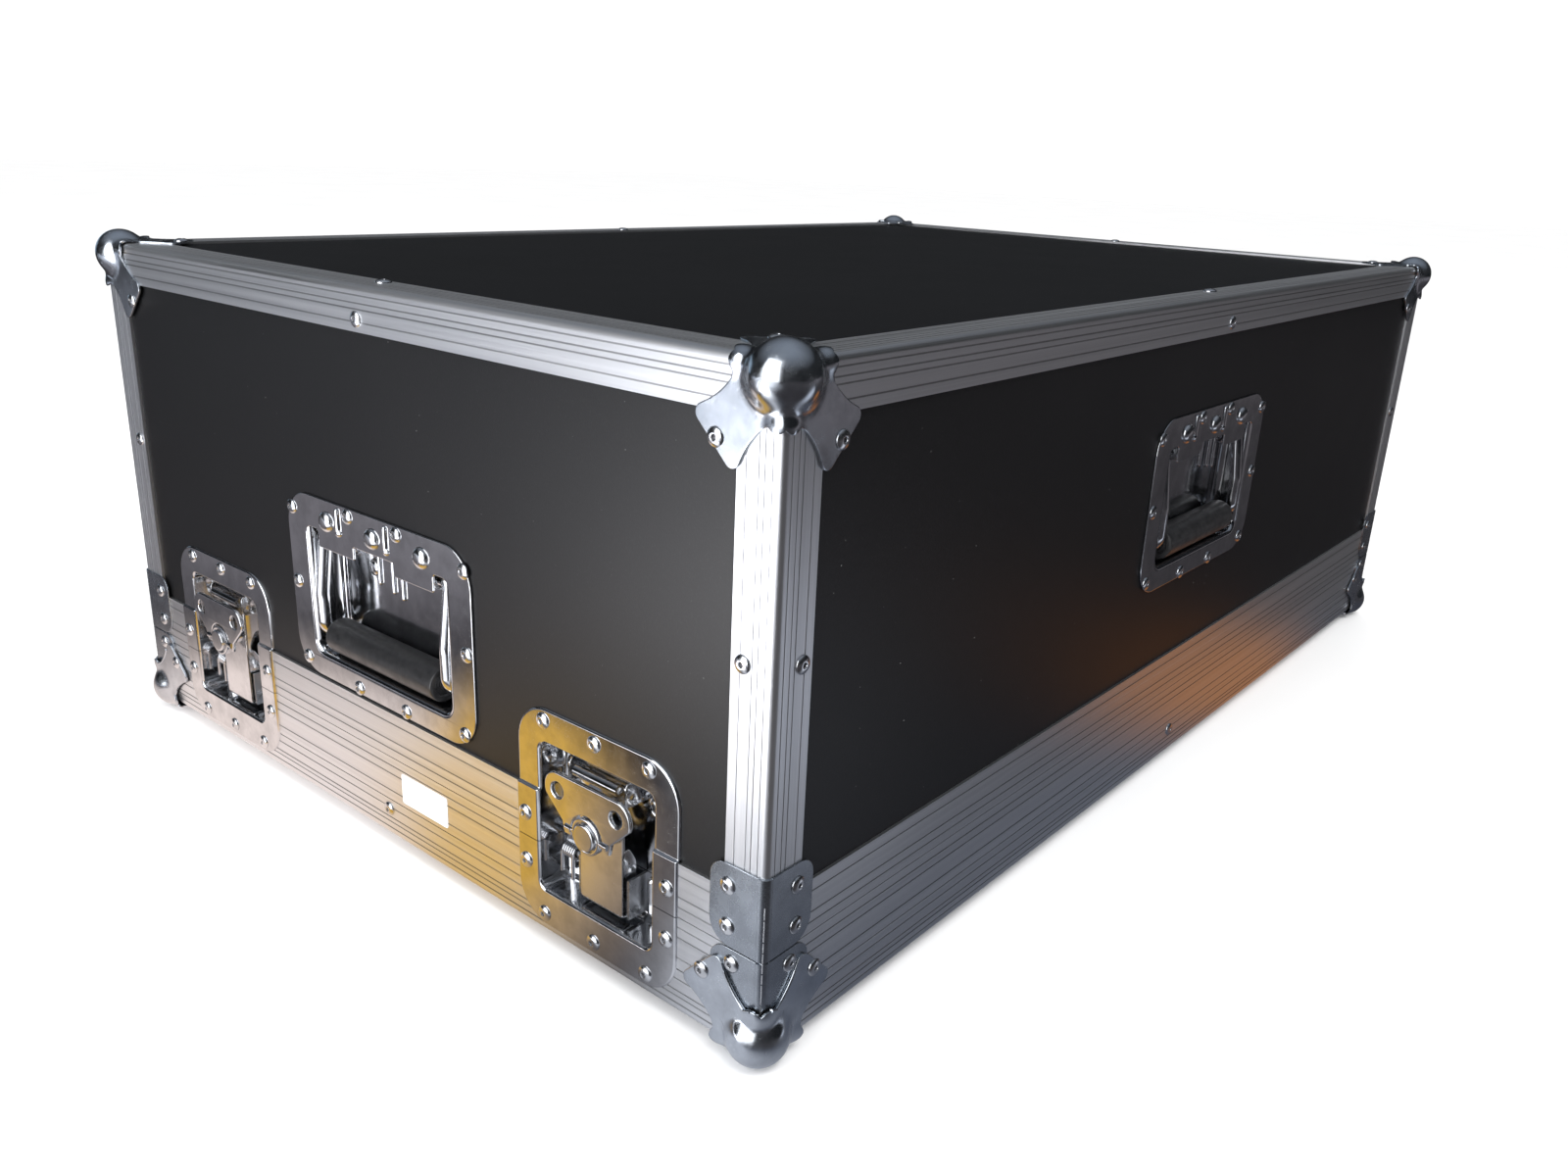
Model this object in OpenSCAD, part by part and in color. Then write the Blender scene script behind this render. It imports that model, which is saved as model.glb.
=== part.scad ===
// Equipment flight case: a deep lift-off cover on a shallow base tray,
// with laminated plywood panels, aluminium edging, recessed twist latches
// on both ends and a recessed spring handle on every side.
// Origin: centre of the footprint, on the floor, under the ball corners.
// X runs along the length, Y across the width, Z up.

/* [Case] */
// Length over the aluminium edging
case_l = 800; // [640:5:1200]
// Width over the aluminium edging
case_w = 525; // [480:5:800]
// Height over the aluminium edging
case_h = 290; // [270:5:600]
// Height of the parting line above the underside of the edging
split_h = 48.3; // [47:0.1:50]
// Gap between the two rims at the parting line
split_gap = 0.4; // [0.3:0.1:0.8]
// Thickness of the laminated plywood
ply_t = 7; // [6:0.5:8]

/* [Aluminium edging] */
// Leg width of the edge angles
angle_w = 22; // [20:1:26]
// Thickness of every aluminium section
alu_t = 1.5; // [1.2:0.1:2]
// Outside radius of the edge angles
edge_r = 3; // [2:0.5:4]
// Height of the cover's rim section above the parting line
cover_rim_h = 25.7; // [24:0.1:30]
// Height of the tray's rim section below the parting line
tray_rim_h = 25.6; // [24:0.1:26]
// Width of the decorative grooves
groove_w = 0.6; // [0.4:0.1:1]
// Depth of the decorative grooves
groove_d = 0.3; // [0.2:0.1:0.5]

/* [Corners] */
// Radius of the pressed steel ball
ball_r = 14; // [13:0.5:16]
// Distance of the ball's centre inside each outer face
ball_inset = 7; // [6:0.5:7]
// Thickness of the ball corner's steel
leg_t = 1.2; // [1:0.1:1.5]
// Reach of a ball corner's leg from the edges
leg_reach = 43; // [40:1:46]
// Reach of a ball corner's ends along the edges
end_reach = 24.8; // [23:0.1:26]
// Thickness of the corner braces
brace_t = 1; // [0.8:0.1:1.2]
// Reach of the corner braces along each face
brace_w = 29; // [27:1:30]

/* [Handles] */
// Width of the handle plate
handle_w = 158; // [150:1:170]
// Height of the handle plate
handle_h = 102; // [98:1:110]
// Height of the end handles' centres
end_handle_z = 127; // [126:1:190]
// Height of the side handles' centres
side_handle_z = 175; // [140:1:200]
// Depth of the handle dish behind the panel's face
handle_depth = 17; // [17:0.5:20]
// Diameter of the bail's wire
bail_d = 7; // [6:0.5:7]
// Diameter of the rubber grip
grip_d = 19; // [17:0.5:19]
// Length of the rubber grip
grip_l = 94; // [80:1:96]

/* [Latches] */
// Distance of a latch's centre from the case's vertical edges
latch_inset = 100; // [98:1:105]
// Width of the latch plate
latch_w = 104.5; // [104:0.5:110]
// Height of the latch plate above the parting line
latch_up = 68.7; // [66:0.1:72]
// Height of the latch plate below the parting line
latch_down = 43.3; // [42:0.1:44]
// Depth of the latch dish behind the panel's face
latch_depth = 16; // [16:0.5:18]
// Diameter of the twist boss
boss_d = 18; // [16:1:18]

/* [Rivets] */
// Diameter of a blind rivet's head
head_d = 8; // [6.5:0.5:8]
// Diameter of a blind rivet's shank
shank_d = 4; // [3.2:0.1:4.8]

/* [Lining] */
// Thickness of the foam pad in the tray
foam_t = 10; // [5:1:20]

/* [Hidden] */
$fn = 48;
eps = 0.01;
standoff = ball_r - ball_inset;
faces = [0, 1, 2, 3];
plate_t = 1.2;
corner_r = 20;
fit = 0.3;
joint_gap = 0.05;

// The ply lies one aluminium thickness inside the outer faces.
ply_l = case_l - 2 * alu_t;
ply_w = case_w - 2 * alu_t;
tray_top = split_h - split_gap / 2;
cover_low = split_h + split_gap / 2;
floor_top = alu_t + ply_t;
rim_d = alu_t + ply_t + alu_t;
tongue_h = 2;
web_top = cover_low + tongue_h + 0.9 + alu_t;

// Latch opening and the moving parts in it, from the latch's centre.
latch_open = 37;
latch_open_up = 51.7;
latch_open_down = 24.3;
boss_z = 19.2;
wing_y = 5.5;
hook_w = 28;
hook_y = 2.5;
hook_t = 1.5;
pivot_y = 8;
pivot_z = -17;
pivot_d = 4;
spring_y = 9;
spring_z = -5;
claw_z = 44.5;
claw_d = 6;

// Handle opening and the bail in it, from the handle's centre.
handle_open = 59;
handle_low = -37;
handle_lip = 24;
handle_pan_top = 42.5;
bail_x = 54.5;
bail_end = 20;
hinge_y = 5.5;
hinge_z = 29;
grip_z = -26;

// The latches by corner, with the face each one is on and its side of that face.
LATCHES = ["right_front", "right_back", "left_back", "left_front"];
LATCH_FACE = [1, 1, 3, 3];
LATCH_SIDE = [-1, 1, -1, 1];
HANDLES = ["front", "right", "back", "left"];

// ---------------------------------------------------------------- placing

// Face 0 is the front, 1 the right end, 2 the back and 3 the left end.
function face_len(f) = f % 2 == 0 ? case_l : case_w;
function face_out(f) = f % 2 == 0 ? case_w / 2 : case_l / 2;
function handle_at(f) = f % 2 == 0 ? side_handle_z : end_handle_z;

// A face's frame: x to the right seen from outside, -y outwards, z up,
// with y = 0 on the outer face of the aluminium.
module on_face(f) {
  translate([0, 0, standoff])
    rotate([0, 0, 90 * f])
      translate([0, -face_out(f), 0])
        children();
}

// A face's frame with y = 0 on the outer face of the ply.
module on_ply(f) {
  on_face(f)
    translate([0, alu_t, 0])
      children();
}

module at_handle(f) {
  on_ply(f)
    translate([0, 0, handle_at(f)])
      children();
}

// A latch's frame has z = 0 on the parting line.
module at_latch(i) {
  on_ply(LATCH_FACE[i])
    translate([LATCH_SIDE[i] * (case_w / 2 - latch_inset), 0, split_h])
      children();
}

// Turns a flat outline in x and z into a plate from y0 inwards.
module plate(y0, t) {
  translate([0, y0 + t, 0])
    rotate([90, 0, 0])
      linear_extrude(t)
        children();
}

// A bar or bore along y, starting at y0.
module along_y(d, y0, l) {
  translate([0, y0, 0])
    rotate([-90, 0, 0])
      cylinder(d = d, h = l);
}

// A bar or bore along x, centred.
module along_x(d, l) {
  rotate([0, 90, 0])
    cylinder(d = d, h = l, center = true);
}

// A flat plate with four round corners, centred.
module round_plate(w, h, r) {
  square([w - 2 * r, h], center = true);
  square([w, h - 2 * r], center = true);
  for (x = [-1, 1], y = [-1, 1])
    translate([x * (w / 2 - r), y * (h / 2 - r)])
      circle(r);
}

// ----------------------------------------------------------------- rivets

// Places of the rivets on a face as [x, z, height of the seat outside the aluminium].
function latch_rivets_up(c) = concat(
  [for (x = [-34, 0, 34]) [c + x, split_h + latch_up - 6, plate_t - alu_t]],
  [for (x = [-46.3, 46.3]) [c + x, split_h + 12, plate_t]]
);
function latch_rivets_down(c) = concat(
  [for (x = [-34, 0, 34]) [c + x, split_h - latch_down + 6, plate_t]],
  [for (x = [-46.3, 46.3]) [c + x, split_h - 13.3, plate_t]]
);
function latch_centres(f) =
  f % 2 == 1 ? [latch_inset - case_w / 2, case_w / 2 - latch_inset] : [];
function handle_small(f) = [
  for (p = [[-74, 41], [74, 41], [-74, -0.5], [74, -0.5], [-70, -43.5], [70, -43.5],
            [-21, -47.5], [21, -47.5], [-21, 46.5], [21, 46.5]])
    [p[0], handle_at(f) + p[1], plate_t - alu_t]
];
function corner_rivets(f, z, seat) = [
  for (s = [-1, 1]) [s * (face_len(f) / 2 - 31.5), z, seat]
];
function cover_brace_rivets(f) = [
  for (s = [-1, 1], z = [58, 77]) [s * (face_len(f) / 2 - 19), z, brace_t]
];
function cover_rivet_places(f) = concat(
  [for (c = latch_centres(f)) each latch_rivets_up(c)],
  handle_small(f),
  corner_rivets(f, case_h - 31.5, leg_t + joint_gap),
  cover_brace_rivets(f),
  [for (s = [-1, 1]) [s * (face_len(f) / 2 - 16), case_h * 0.6, 0]],
  [[0, case_h - 16, 0]]
);
function tray_rivet_places(f) = concat(
  [for (c = latch_centres(f)) each latch_rivets_down(c)],
  corner_rivets(f, 31.5, brace_t + leg_t),
  [for (s = [-1, 1]) [s * (face_len(f) / 2 - 16), 41.3, brace_t]],
  [[0, 16, 0]]
);
// Rivets on the top or the bottom, as [x, y, height of the seat].
function flat_places(seat) = concat(
  [for (x = [-1, 1], y = [-1, 1]) [x * (case_l / 2 - 31.5), y * (case_w / 2 - 31.5), seat]],
  [for (y = [-1, 1]) [0, y * (case_w / 2 - 16), 0]],
  [for (x = [-1, 1]) [x * (case_l / 2 - 16), 0, 0]]
);

// A domed blind rivet with a hollow end, its seat at y = 0 and its shank inwards.
module blind_rivet(d, l) {
  rotate([90, 0, 0])
    difference() {
      union() {
        cylinder(d = d, h = 0.5);
        translate([0, 0, 0.5])
          cylinder(d1 = d, d2 = d * 0.55, h = 1.1);
        translate([0, 0, -l])
          cylinder(d = shank_d, h = l);
      }
      translate([0, 0, 0.6])
        cylinder(d = 1.8, h = 2);
    }
}

module face_rivets(f, places) {
  on_face(f)
    for (p = places)
      translate([p[0], -p[2], p[1]])
        blind_rivet(head_d, rim_d + p[2] - 0.2);
}

// The holes for those rivets.
module face_bores(f, places, d = shank_d) {
  on_face(f)
    for (p = places)
      translate([p[0], 0, p[1]])
        along_y(d, -5, 25);
}

module flat_rivets(z, up, seat) {
  for (p = flat_places(seat))
    translate([p[0], p[1], z + up * p[2]])
      rotate([-up * 90, 0, 0])
        blind_rivet(head_d, alu_t + ply_t + p[2] - 0.2);
}

module flat_bores(z) {
  for (p = flat_places(0))
    translate([p[0], p[1], z - 15])
      cylinder(d = shank_d, h = 30);
}

module base_rivets() color("silver") {
  for (f = faces)
    face_rivets(f, tray_rivet_places(f));
  flat_rivets(standoff, -1, brace_t + leg_t);
}

module cover_rivets() color("silver") {
  for (f = faces)
    face_rivets(f, cover_rivet_places(f));
  flat_rivets(standoff + case_h, 1, leg_t + joint_gap);
}

// The three large rivets that hold each handle's bracket.
big_rivets = [-41, 0, 41];
big_rivet_z = 39.5;
module handle_rivets() color("silver")
  for (f = faces)
    at_handle(f)
      for (x = big_rivets)
        translate([x, -plate_t, big_rivet_z])
          rotate([90, 0, 0]) {
            cylinder(d = 11, h = 0.8);
            translate([0, 0, 0.8])
              cylinder(d1 = 11, d2 = 6, h = 1.8);
            translate([0, 0, -plate_t - 1.4])
              cylinder(d = 5, h = plate_t + 1.4);
          }

// ----------------------------------------------------------------- panels

// Cut-outs that let the recessed dishes through the panels and rims.
module latch_cutouts(f) {
  on_face(f)
    for (c = latch_centres(f))
      translate([c - latch_open - 1.6, -5, split_h - latch_open_down - 1.6])
        cube([2 * (latch_open + 1.6), 25, latch_open_up + latch_open_down + 3.2]);
}

module handle_cutout(f) {
  at_handle(f)
    translate([-handle_open - 1.6, -5, handle_low - 1.6])
      cube([2 * (handle_open + 1.6), 25, handle_pan_top - handle_low + 3.2]);
}

module cover_panel(f) {
  // The long panels run the whole length and the end panels fit between them.
  l = f % 2 == 0 ? ply_l : ply_w - 2 * (ply_t + joint_gap);
  difference() {
    on_ply(f)
      translate([-l / 2, 0, web_top])
        cube([l, ply_t, case_h - alu_t - ply_t - web_top]);
    handle_cutout(f);
    latch_cutouts(f);
    face_bores(f, cover_rivet_places(f));
  }
}

module front_panel() color("#1c1d1f") cover_panel(0);
module right_panel() color("#1c1d1f") cover_panel(1);
module back_panel() color("#1c1d1f") cover_panel(2);
module left_panel() color("#1c1d1f") cover_panel(3);

module lying_panel(z) {
  difference() {
    translate([-ply_l / 2, -ply_w / 2, z])
      cube([ply_l, ply_w, ply_t]);
    flat_bores(z);
  }
}

module top_panel() color("#1c1d1f")
  lying_panel(standoff + case_h - alu_t - ply_t);

module base_panel() color("#1c1d1f")
  lying_panel(standoff + alu_t);

module base_walls() color("#1c1d1f")
  for (f = faces)
    difference() {
      l = f % 2 == 0 ? ply_l : ply_w - 2 * (ply_t + joint_gap);
      on_ply(f)
        translate([-l / 2, 0, floor_top])
          cube([l, ply_t, tray_top - alu_t - floor_top]);
      latch_cutouts(f);
      face_bores(f, tray_rivet_places(f));
    }

// ----------------------------------------------------------------- edging

// Section of the edge angle, its outer corner at the origin.
module angle_section() {
  difference() {
    union() {
      translate([edge_r, 0])
        square([angle_w - edge_r, alu_t]);
      translate([0, edge_r])
        square([alu_t, angle_w - edge_r]);
      intersection() {
        translate([edge_r, edge_r])
          circle(edge_r);
        square(edge_r);
      }
    }
    translate([alu_t, alu_t])
      square(angle_w);
    for (g = [4.6, 8.2, 11, 17]) {
      translate([g, -1])
        square([groove_w, 1 + groove_d]);
      translate([-1, g])
        square([1 + groove_d, groove_w]);
    }
  }
}

// A length of edging along a face, mitred at both ends.
module mitred(f, depth) {
  l = face_len(f);
  on_face(f)
    translate([-l / 2, 0, 0])
      intersection() {
        rotate([90, 0, 90])
          linear_extrude(l)
            children();
        linear_extrude(case_h)
          polygon([[joint_gap, 0], [l - joint_gap, 0],
                   [l - depth - joint_gap, depth], [depth + joint_gap, depth]]);
      }
}

module bottom_edge_angles() color("#c9ccd0")
  for (f = faces)
    difference() {
      mitred(f, angle_w)
        angle_section();
      face_bores(f, tray_rivet_places(f));
      flat_bores(0);
    }

module top_edge_angles() color("#c9ccd0")
  for (f = faces)
    difference() {
      mitred(f, angle_w)
        translate([0, case_h])
          mirror([0, 1])
            angle_section();
      face_bores(f, [[0, case_h - 16, 0]]);
      flat_bores(standoff + case_h);
    }

module vertical_edge_angles() color("#c9ccd0") {
  low = cover_low + cover_rim_h;
  for (f = faces)
    difference() {
      on_face(f)
        translate([-face_len(f) / 2, 0, low])
          linear_extrude(case_h - angle_w - low)
            angle_section();
      face_bores(f, [[-face_len(f) / 2 + 16, case_h * 0.6, 0]]);
      face_bores((f + 3) % 4, [[face_len(f + 1) / 2 - 16, case_h * 0.6, 0]]);
      face_bores(f, [[-face_len(f) / 2 + 19, 77, 0]]);
      face_bores((f + 3) % 4, [[face_len(f + 1) / 2 - 19, 77, 0]]);
    }
}

// Grooves in a rim's face, above (1) or below (-1) the parting line.
module rim_grooves(way) {
  for (g = [5, 10, 20.2])
    translate([-1, split_h + way * g - groove_w / 2])
      square([1 + groove_d, groove_w]);
}

// Tray rim: a U over the ply's upper edge with a tongue on top.
module tray_rim_section() {
  low = tray_top - tray_rim_h;
  difference() {
    translate([0, low])
      square([alu_t, tray_rim_h]);
    rim_grooves(-1);
  }
  translate([0, tray_top - alu_t])
    square([rim_d, alu_t]);
  translate([rim_d - alu_t, tray_top - 16])
    square([alu_t, 16]);
  translate([rim_d / 2 - 1.8, tray_top - alu_t])
    square([3.6, alu_t + tongue_h]);
}

// Cover rim: the same U upside down with a groove for the tongue.
module cover_rim_section() {
  difference() {
    translate([0, cover_low])
      square([alu_t, cover_rim_h]);
    rim_grooves(1);
  }
  translate([0, web_top - alu_t])
    square([rim_d, alu_t]);
  translate([rim_d - alu_t, cover_low])
    square([alu_t, 18]);
  for (x = [0, rim_d / 2 + 2.2])
    translate([x, cover_low])
      square([rim_d / 2 - 2.2, alu_t]);
}

module base_rim_extrusions() color("#bfc3c8")
  for (f = faces)
    difference() {
      mitred(f, rim_d)
        tray_rim_section();
      latch_cutouts(f);
      face_bores(f, tray_rivet_places(f));
    }

module cover_rim_extrusions() color("#bfc3c8")
  for (f = faces)
    difference() {
      mitred(f, rim_d)
        cover_rim_section();
      latch_cutouts(f);
      face_bores(f, cover_rivet_places(f));
    }

// ---------------------------------------------------------------- corners

// Outline of one leg, with the case's corner at the origin.
module leg_outline() {
  tip = leg_reach - 18.5;
  difference() {
    polygon([[0, 0], [leg_reach, 0], [leg_reach, tip], [tip, leg_reach], [0, leg_reach]]);
    translate([-14, leg_reach + 10.5])
      circle(37.2);
    translate([leg_reach + 10.5, -14])
      circle(37.2);
    translate([31.5, 31.5])
      circle(d = shank_d);
  }
  polygon([[0, 0], [end_reach, 0], [end_reach - 2.3, 6], [6, 6], [6, end_reach - 2.3],
           [0, end_reach]]);
}

// The leg on the face z = 0, reaching over both edges to meet the other legs.
module corner_leg(lift) {
  translate([0, 0, -lift - leg_t])
    linear_extrude(leg_t)
      leg_outline();
  for (s = [0, 1])
    mirror([s, -s, 0])
      translate([-lift - leg_t, 0, -lift - leg_t])
        cube([lift + leg_t, end_reach, leg_t]);
}

// A pressed ball corner in the octant of positive x, y and z.
module ball_corner(lift) {
  corner_leg(lift);
  rotate([90, 0, 90])
    corner_leg(lift);
  rotate([-90, -90, 0])
    corner_leg(lift);
  difference() {
    translate([ball_inset, ball_inset, ball_inset])
      difference() {
        sphere(ball_r);
        sphere(ball_r - leg_t);
      }
    translate([-lift, -lift, -lift])
      cube(4 * ball_r);
  }
}

// Places children at the four bottom corners, each in its own octant.
module at_bottom_corners() {
  for (x = [0, 1], y = [0, 1])
    mirror([x, 0, 0])
      mirror([0, y, 0])
        translate([-case_l / 2, -case_w / 2, standoff])
          children();
}

module at_top_corners() {
  translate([0, 0, 2 * standoff + case_h])
    mirror([0, 0, 1])
      at_bottom_corners()
        children();
}

module base_ball_corners() color("gainsboro")
  at_bottom_corners()
    ball_corner(brace_t);

module cover_ball_corners() color("gainsboro")
  at_top_corners()
    ball_corner(joint_gap);

// An L-shaped brace round a vertical edge, from z0 to z1, in the corner's octant.
module corner_brace(w, z0, z1, round_low, holes) {
  for (s = [0, 1])
    mirror([s, -s, 0])
      difference() {
        plate(-brace_t, brace_t)
          difference() {
            union() {
              translate([-brace_t, z0])
                square([w + brace_t - 8, z1 - z0]);
              translate([w - 8 - eps, z0])
                square([8, z1 - z0 - 8]);
              translate([w - 8, z1 - 8])
                circle(8);
            }
            if (round_low)
              difference() {
                translate([w - 11, z0 - 1])
                  square(12);
                translate([w - 11, z0 + 11])
                  circle(11);
              }
          }
        for (h = holes)
          translate([h[0], 0, h[1]])
            along_y(shank_d, -5, 10);
      }
}

module cover_corner_braces() color("lightgray")
  at_bottom_corners()
    corner_brace(brace_w, cover_low + 0.1, 87, true, [[19, 58], [19, 77]]);

module base_corner_braces() color("lightgray")
  at_bottom_corners()
    corner_brace(brace_w - 1, 20, tray_top - 0.1, false, [[16, 41.3]]);

// ---------------------------------------------------------------- handles

module handle_dish(f) {
  pan_h = handle_pan_top - handle_low;
  pan_z = (handle_pan_top + handle_low) / 2;
  pan_w = 2 * (handle_open + plate_t);
  difference() {
    union() {
      plate(-plate_t, plate_t)
        round_plate(handle_w, handle_h, corner_r);
      translate([-pan_w / 2, -eps, handle_low - plate_t])
        cube([pan_w, handle_depth + eps, pan_h + 2 * plate_t]);
    }
    // The hollow of the dish.
    translate([-handle_open, 0, handle_low])
      cube([2 * handle_open, handle_depth - plate_t, pan_h]);
    // The opening under the lip, the notch in the lip and the arms' slots.
    translate([-handle_open, -5, handle_low])
      cube([2 * handle_open, 10, handle_lip - handle_low]);
    translate([-17.5, -5, 0])
      cube([35, 10, handle_lip + 7]);
    for (s = [-1, 1])
      translate([s * bail_x - 4.5, -5, 0])
        cube([9, 10, hinge_z + 4.5]);
    for (x = big_rivets)
      translate([x, 0, big_rivet_z])
        along_y(5, -5, 10);
    for (p = handle_small(f))
      translate([p[0], 0, p[1] - handle_at(f)])
        along_y(shank_d, -5, 10);
  }
}

// The bracket behind the lip, with two barrels for the bail's ends.
module handle_bracket() {
  difference() {
    translate([-48, fit, 35.5])
      cube([96, plate_t, 6.7]);
    for (x = big_rivets)
      translate([x, 0, big_rivet_z])
        along_y(5, -5, 10);
  }
  for (s = [-1, 1])
    translate([s * 40, hinge_y, hinge_z])
      difference() {
        union() {
          along_x(bail_d + 3.4, 12);
          translate([-6, fit - hinge_y, 0])
            cube([12, plate_t, 8]);
        }
        along_x(bail_d + 0.1, 20);
      }
}

module handle_brackets() color("gray")
  for (f = faces)
    at_handle(f)
      handle_bracket();

// The wire bail: two pivot ends, two arms and a bar through the grip.
module bail() {
  r = 6;
  top_r = 5;
  drop = hinge_z - grip_z;
  stub = bail_x - top_r - bail_end;
  translate([0, hinge_y, hinge_z]) {
    for (s = [-1, 1]) {
      translate([s * (bail_end + stub / 2), 0, 0])
        along_x(bail_d, stub);
      translate([s * (bail_x - top_r), 0, -top_r])
        rotate([90, 0, 0])
          rotate([0, 0, s == 1 ? 0 : 90])
            bend(top_r);
      translate([s * bail_x, 0, -drop + r])
        cylinder(d = bail_d, h = drop - r - top_r);
      translate([s * (bail_x - r), 0, -drop + r])
        rotate([90, 0, 0])
          rotate([0, 0, s == 1 ? -90 : 180])
            bend(r);
    }
    translate([0, 0, -drop])
      along_x(bail_d, 2 * (bail_x - r));
  }
}

// A quarter bend of the bail's wire about the z axis.
module bend(r) {
  rotate_extrude(angle = 90)
    translate([r, 0])
      circle(d = bail_d);
}

// The rubber grip, a sleeve on the bail's bar.
module grip() {
  translate([0, hinge_y, grip_z])
    difference() {
      along_x(grip_d, grip_l);
      along_x(bail_d + 0.05, grip_l + 2);
    }
}

// A close-wound torsion spring with its axis along x.
module coil(inner_d, wire, turns) {
  rotate([0, 90, 0])
    rotate_extrude()
      for (i = [0 : turns - 1])
        translate([inner_d / 2 + wire / 2, (i - (turns - 1) / 2) * wire * 0.9])
          circle(d = wire);
}

module handle_springs() color("silver")
  for (f = faces)
    at_handle(f)
      for (x = [-27.5, 27.5])
        translate([x, hinge_y, hinge_z])
          coil(bail_d + 0.6, 1.4, 7);

// ---------------------------------------------------------------- latches

// A band of the flange between the heights z0 and z1, from y0 inwards.
module latch_flange(z0, z1, y0, t) {
  difference() {
    intersection() {
      plate(y0, t)
        translate([0, (latch_up - latch_down) / 2])
          round_plate(latch_w, latch_up + latch_down, corner_r);
      translate([-latch_w, -10, z0])
        cube([2 * latch_w, 40, z1 - z0]);
    }
    translate([-latch_open, -10, -latch_open_down])
      cube([2 * latch_open, 20, latch_open_up + latch_open_down]);
  }
}

// The pan behind the rim plate.
module latch_pan(z0, z1, wall0, wall1) {
  difference() {
    translate([-latch_open - plate_t, -alu_t - plate_t, z0 - wall0])
      cube([2 * (latch_open + plate_t), latch_depth + alu_t + plate_t, z1 - z0 + wall0 + wall1]);
    translate([-latch_open, -alu_t - plate_t - 1, z0 - (wall0 == 0 ? 1 : 0)])
      cube([2 * latch_open, latch_depth + alu_t + 1,
            z1 - z0 + (wall0 == 0 ? 1 : 0) + (wall1 == 0 ? 1 : 0)]);
  }
}

// The tray's half: flange, pan and two pressed ribs.
module lower_dish() {
  difference() {
    union() {
      latch_flange(-latch_down, -split_gap / 2, -alu_t - plate_t, plate_t);
      latch_pan(-latch_open_down, -split_gap / 2, plate_t, 0);
      for (x = [21, 28])
        translate([x, latch_depth - plate_t - 1.4, -latch_open_down + 3])
          cylinder(d = 5, h = 19);
    }
    for (p = latch_rivets_down(0))
      translate([p[0], 0, p[1] - split_h])
        along_y(shank_d, -5, 10);
  }
}

// The cover's half: its flange steps down from the rim on to the ply.
module upper_dish() {
  step = cover_rim_h + split_gap / 2;
  difference() {
    union() {
      latch_flange(split_gap / 2, step + plate_t, -alu_t - plate_t, plate_t);
      latch_flange(step + fit, step + plate_t, -alu_t - plate_t, alu_t + plate_t);
      latch_flange(step + fit, latch_up, -plate_t, plate_t);
      difference() {
        latch_pan(split_gap / 2, latch_open_up, 0, plate_t);
        translate([-latch_w / 2, -plate_t - 5, step + plate_t])
          cube([latch_w, 5, latch_up]);
      }
      for (x = [-27, 27])
        translate([x, 0, 37])
          difference() {
            along_y(14, latch_depth - plate_t - 3, 3 + eps);
            along_y(8, latch_depth - plate_t - 4, 3);
          }
    }
    for (p = latch_rivets_up(0))
      translate([p[0], 0, p[1] - split_h])
        along_y(shank_d, -5, 10);
  }
}

// The bracket in the tray's half that carries the hook's pivot pin.
module latch_bracket() {
  back = latch_depth - plate_t;
  difference() {
    union() {
      for (s = [-1, 1])
        translate([s * (hook_w / 2 + 2) - 0.75, pivot_y - 4, pivot_z - 4])
          cube([1.5, back - pivot_y + 4, 20]);
      translate([-hook_w / 2 - 2.75, back - plate_t, pivot_z - 4])
        cube([hook_w + 5.5, plate_t, 12]);
    }
    translate([0, pivot_y, pivot_z])
      along_x(pivot_d, 2 * hook_w);
  }
  translate([0, pivot_y, pivot_z])
    along_x(pivot_d, hook_w + 7);
  // The post that the spring is wound on.
  translate([-24, spring_y, spring_z])
    along_x(4, 16);
}

module latch_brackets() color("gray")
  for (i = [0 : 3])
    at_latch(i)
      latch_bracket();

// The spring that lifts the hook clear, with its straight leg.
module latch_springs() color("silver")
  for (i = [0 : 3])
    at_latch(i)
      translate([-26, spring_y, spring_z]) {
        coil(5, 1.4, 7);
        translate([3, -3.2, -13])
          cylinder(d = 1.4, h = 13);
      }

// The keeper in the cover's half: two side lugs and the bar between them.
module latch_keepers() color("lightgray")
  for (i = [0 : 3])
    at_latch(i) {
      back = latch_depth - plate_t;
      for (s = [-1, 1])
        translate([s * 18 - 0.75, 0, claw_z - 7])
          cube([1.5, back, 12]);
      translate([-18.75, back - plate_t, claw_z - 7])
        cube([37.5, plate_t, 12]);
      translate([0, 8.5, claw_z])
        along_x(5, 35);
    }

// The hook: a channel on the pivot pin with a rolled claw at its upper end.
module hook() {
  low = pivot_z - 4;
  difference() {
    union() {
      translate([-hook_w / 2, hook_y, low])
        cube([hook_w, hook_t, claw_z - low]);
      for (s = [-1, 1])
        translate([s * (hook_w / 2 - 0.75) - 0.75, hook_y, low])
          cube([1.5, pivot_y + 3 - hook_y, 34]);
      translate([0, hook_y - 1.2, claw_z])
        along_x(claw_d, hook_w);
    }
    translate([0, pivot_y, pivot_z])
      along_x(pivot_d + 0.1, 2 * hook_w);
    translate([0, 0, boss_z])
      along_y(8.1, -5, 20);
  }
}

// The twist boss: ring, cap, axle, cam and the cross pin for the wing.
module twist_boss() {
  translate([0, 0, boss_z]) {
    along_y(boss_d, -7, 4);
    along_y(13, -8.3, 1.8);
    along_y(8, -4, 12);
    along_y(16, hook_y + hook_t + 0.4, 2.2);
    translate([0, -wing_y, 0])
      along_x(3, 26);
  }
}

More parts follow.
